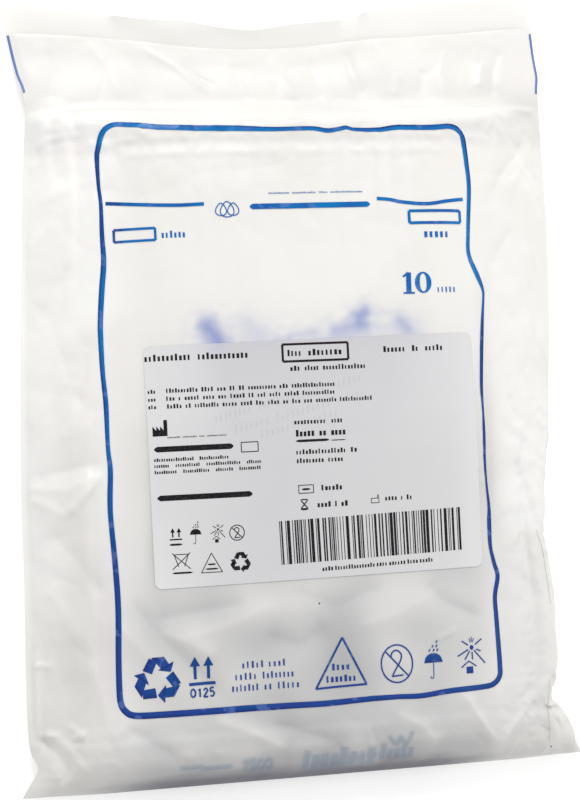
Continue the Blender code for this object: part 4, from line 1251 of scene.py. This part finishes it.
# black print of the label
blackPrint = {
    "lift": 0.06,
    # a bar code that holds nothing: start, end, low, high, rise of its line, slant, width of one module
    "code": (-12.9, 69.9, 95.5, 114.6, 1.8, 0.5, 0.339),
    "words": (
        (-68.8, -23.2, 188, 2.9, (9, 10), 2.6), (-6.2, 18.6, 187.9, 2.8, (3, 7), 2.6),
        (-5.3, 29, 181.1, 2.2, (3, 4, 12), 1.6), (37, 64.8, 188, 2.6, (6, 2, 5), 2.6),
        (-68, -64.4, 173.5, 1.7, (1,)), (-68, -64.4, 170.1, 1.7, (1,)), (-68, -64.4, 166.8, 1.7, (1,)),
        (-60.2, 14.6, 173.6, 1.9, (10, 4, 3, 2, 2, 9, 3, 14)),
        (-60.3, 14.4, 170.2, 1.9, (3, 1, 5, 4, 3, 5, 2, 3, 4, 5, 11)),
        (-60.1, 31.1, 166.8, 1.9, (5, 2, 8, 5, 4, 3, 4, 2, 3, 3, 7, 11)),
        (-60.5, -34.5, 153.4, 0.7, (7, 8, 3, 11), 0.9), (-66.5, -34, 143.9, 1.5, (8, 6), 2.2, 0.6),
        (-66.5, -19.8, 141.3, 1.5, (3, 5, 7, 3), 2.6, 0.6),
        (-66.5, -20, 138.6, 1.5, (5, 6, 4, 5), 2.6, 0.6), (-4.7, 17.2, 157.6, 2.1, (11, 4), 2.2),
        (-4.2, 18.5, 152.6, 2.9, (5, 2, 4), 1.8, 0.66), (-4.3, 23.4, 144.4, 2.1, (14, 2), 1.8),
        (-4.2, 17, 140.6, 2.1, (7, 4), 1.6), (6.4, 16.2, 128.3, 2.4, (1,), 1.3, 0.62),
        (4.4, 18.4, 121, 2.4, (4, 0.8, 2), 1.5, 0.62), (35.1, 47.9, 122.2, 2.2, (4, 0.8, 2), 1.4),
        (5.6, 56.8, 92.6, 1.9, (4, 14, 4, 6, 4, 5), 0.5, 0.55, 0.023),
    ),
    "bars": (
        (-66.2, -31.9, 148.4, 2.4), (-65.6, -24.2, 127.3, 2.4), (-61.2, -55.6, 107, 0.9),
        (-60.4, -51.6, 94.6, 0.8), (-45, -41.4, 97.6, 0.7), (-46, -40.4, 95.6, 0.7),
        (-4.1, 10.7, 149.2, 1.1), (11.4, 18.2, 148.9, 0.4), (-2.2, 1.6, 128, 0.9), (-3, 0.4, 119.3, 0.9),
        (-3, 0.4, 123.5, 0.5),
    ),
    "boxes": (
        (-8.2, 184.2, 21.1, 191.7, 1), (-28.4, 145.6, -21, 149.8, 0.4), (-3.6, 126.3, 3, 129.8, 0.35),
        (28.9, 120.4, 32.4, 122.4, 0.3),
    ),
    "lines": (
        (0.35, (-60.2, 103.2), (-52.4, 96.2)), (0.35, (-60.2, 96.2), (-52.4, 103.2)),
        (0.35, (-59.4, 102.6), (-53.2, 102.6)), (0.35, (-59.4, 102.6), (-57.6, 97.4)),
        (0.35, (-53.2, 102.6), (-55, 97.4)), (0.35, (-43.2, 102.5), (-47.8, 94.1)),
        (0.35, (-47.9, 94.1), (-38.5, 94.1)), (0.35, (-38.6, 94.1), (-43.2, 102.5)),
        (0.5, (-2.8, 123.2), (0.2, 119.6)), (0.5, (-2.8, 119.6), (0.2, 123.2)),
        (0.5, (32, 122.4), (32, 124)),
    ),
}


def makeBlackPrint(labelTree):
    bm = bmesh.new()
    drawTables(bm, blackPrint)
    # a works mark: a block with a chimney and a toothed roof
    band(bm, lambda a: (-66.6 + 6.3 * a, 154.1), lambda a: (-66.6 + 6.3 * a, 156.6), 4, 2)
    band(bm, lambda a: (-61.9 + 1.6 * a, 156.4), lambda a: (-61.9 + 1.6 * a, 161), 1, 3)
    for across in (-66.6, -65, -63.4):
        band(bm, lambda a: (across + 1.5 * a, 156.4),
             lambda a: (across + 1.5 * a, 156.6 + 1.8 * (1 - a)), 2)
    upArrows(bm, -61, 109.2, -55.6, 114.2, 0.6)
    umbrella(bm, -49.7, 110.9, 2.5, 0.25)
    sunShelter(bm, -39.9, 112.6, 3.1, 0.3)
    crossedRing(bm, -31.6, 110.7, 3.2, 3.3, 0.4)
    arrowLoop(bm, -30.5, 97.8, 4.3)
    # the bar code's bars have chance widths
    chance = random.Random(7)
    start, end, foot, top, rise, slant, module = blackPrint["code"]
    across = start
    while across < end:
        width = module * chance.choice((1, 1, 1, 2, 2, 3, 4))
        share = (across - start) / (end - start)
        low, high = foot + rise * share, top + rise * share
        band(bm, lambda a: (across + slant * (1 - a), low + (high - low) * a),
             lambda a: (across + width + slant * (1 - a), low + (high - low) * a), 10)
        across += width + module * chance.choice((1, 1, 2, 2, 3, 4))
    layOn(bm, labelTree, blackPrint["lift"])
    return bm


# older print of the film, faint through the label
faintPrint = {
    "lift": 0.05,
    "words": (
        (-39.4, 27.5, 160.8, 3.4, (6, 2, 8, 5), 2.6, 0.24, 0.235),
        (-30.8, 28, 155.6, 3.4, (5, 8, 4), 2.6, 0.24, 0.235),
        (-19.5, 16, 153, 3.4, (7, 4), 2.6, 0.24, 0.235),
    ),
}


def makeFaintPrint(labelTree):
    bm = bmesh.new()
    drawTables(bm, faintPrint)
    layOn(bm, labelTree, faintPrint["lift"])
    return bm


def headward(vert):
    # the ink turns from navy to azure towards the head
    across, up = placeOf(vert)
    if across > 75:
        return between(up, 192, 215)
    if across < -75:
        return between(up, 95, 165) * (1 - 0.85 * between(up, 232, 240) * between(up, 285, 278))
    return between(up, 60, 200)


print("label and print")
labelPiece = finish("stockLabel", makeLabel(frontTree), labelMaterial)
paint(labelPiece, "ghost", lambda vert: 0.55 * ghost(vert))
paint(labelPiece, "shade", labelShade)
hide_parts("label")
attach(labelPiece, "root")
labelTree = meshTree(labelPiece)

bluePiece = finish("filmPrint", makeBluePrint(frontTree), blueInk)
paint(bluePiece, "headward", headward)
paint(bluePiece, "pale", lambda vert: 0.8 * between(placeOf(vert)[1], 300, 305))
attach(bluePiece, "root")
blackPiece = finish("labelPrint", makeBlackPrint(labelTree), blackInk)
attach(blackPiece, "root")
faintPiece = finish("labelFaintPrint", makeFaintPrint(labelTree), faintInk)
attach(faintPiece, "root")

# strips of painted shade along the crisp edges where the film folds over itself
folds = bmesh.new()
for path in (((109.5, 36), (109, 33), (108.2, 27), (107.9, 22), (108.6, 14), (109, 7.5)),
             ((106.7, 103.9), (109.4, 95), (110.6, 86), (111.6, 78), (112.2, 70))):
    stroke(folds, path, 0.35)
layOn(folds, frontTree, 0.08)
foldPiece = finish("foldEdgeShade", folds, foldShade)
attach(foldPiece, "root")

# pin holes that let the air out
vents = bmesh.new()
for across, up in ((3.8, 77.5), (110.6, 4.7)):
    made = bmesh.ops.create_circle(vents, cap_ends=True, radius=0.42 * mm, segments=14)["verts"]
    bmesh.ops.translate(vents, verts=made, vec=at(across, up))
layOn(vents, frontTree, 0.05)
ventPiece = finish("ventHoles", vents, ventDark)
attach(ventPiece, "root")


# floor, light and camera
floor = bmesh.new()
bmesh.ops.create_circle(floor, cap_ends=True, radius=6, segments=64)
floorPiece = finish("floor", floor, floorMaterial)
for vert in floorPiece.data.vertices:
    vert.co.z = -0.0004

world = bpy.data.worlds.new("softRoom")
world.use_nodes = True
feed(world.node_tree, world.node_tree.nodes["Background"], {"Color": (1, 1, 1, 1), "Strength": 0.76})
bpy.context.scene.world = world


def areaLight(name, place, target, size, power):
    data = bpy.data.lights.new(name, "AREA")
    data.shape = "DISK"
    data.size = size
    data.energy = power
    thing = bpy.data.objects.new(name, data)
    thing.location = place
    thing.rotation_euler = (Vector(target) - Vector(place)).to_track_quat("-Z", "Y").to_euler()
    bpy.context.scene.collection.objects.link(thing)


areaLight("keyLight", (-0.1, 2.4, 1.7), (0, 0, 0), 1, 40)
areaLight("fillLight", (0.9, -0.1, 1), (0, 0, 0), 0.9, 2.5)

camera = bpy.data.objects.new("camera", bpy.data.cameras.new("camera"))
camera.data.lens = 76.5
camera.data.clip_start = 0.01
turn = Vector((-0.05324, 0.18425, 0.04773))
camera.matrix_world = (Matrix.Translation((-0.14329, -0.04329, 0.76129))
                       @ Matrix.Rotation(turn.length, 4, turn.normalized()).transposed())
bpy.context.scene.collection.objects.link(camera)
bpy.context.scene.camera = camera
bpy.context.scene.view_settings.view_transform = "Standard"

print("done")
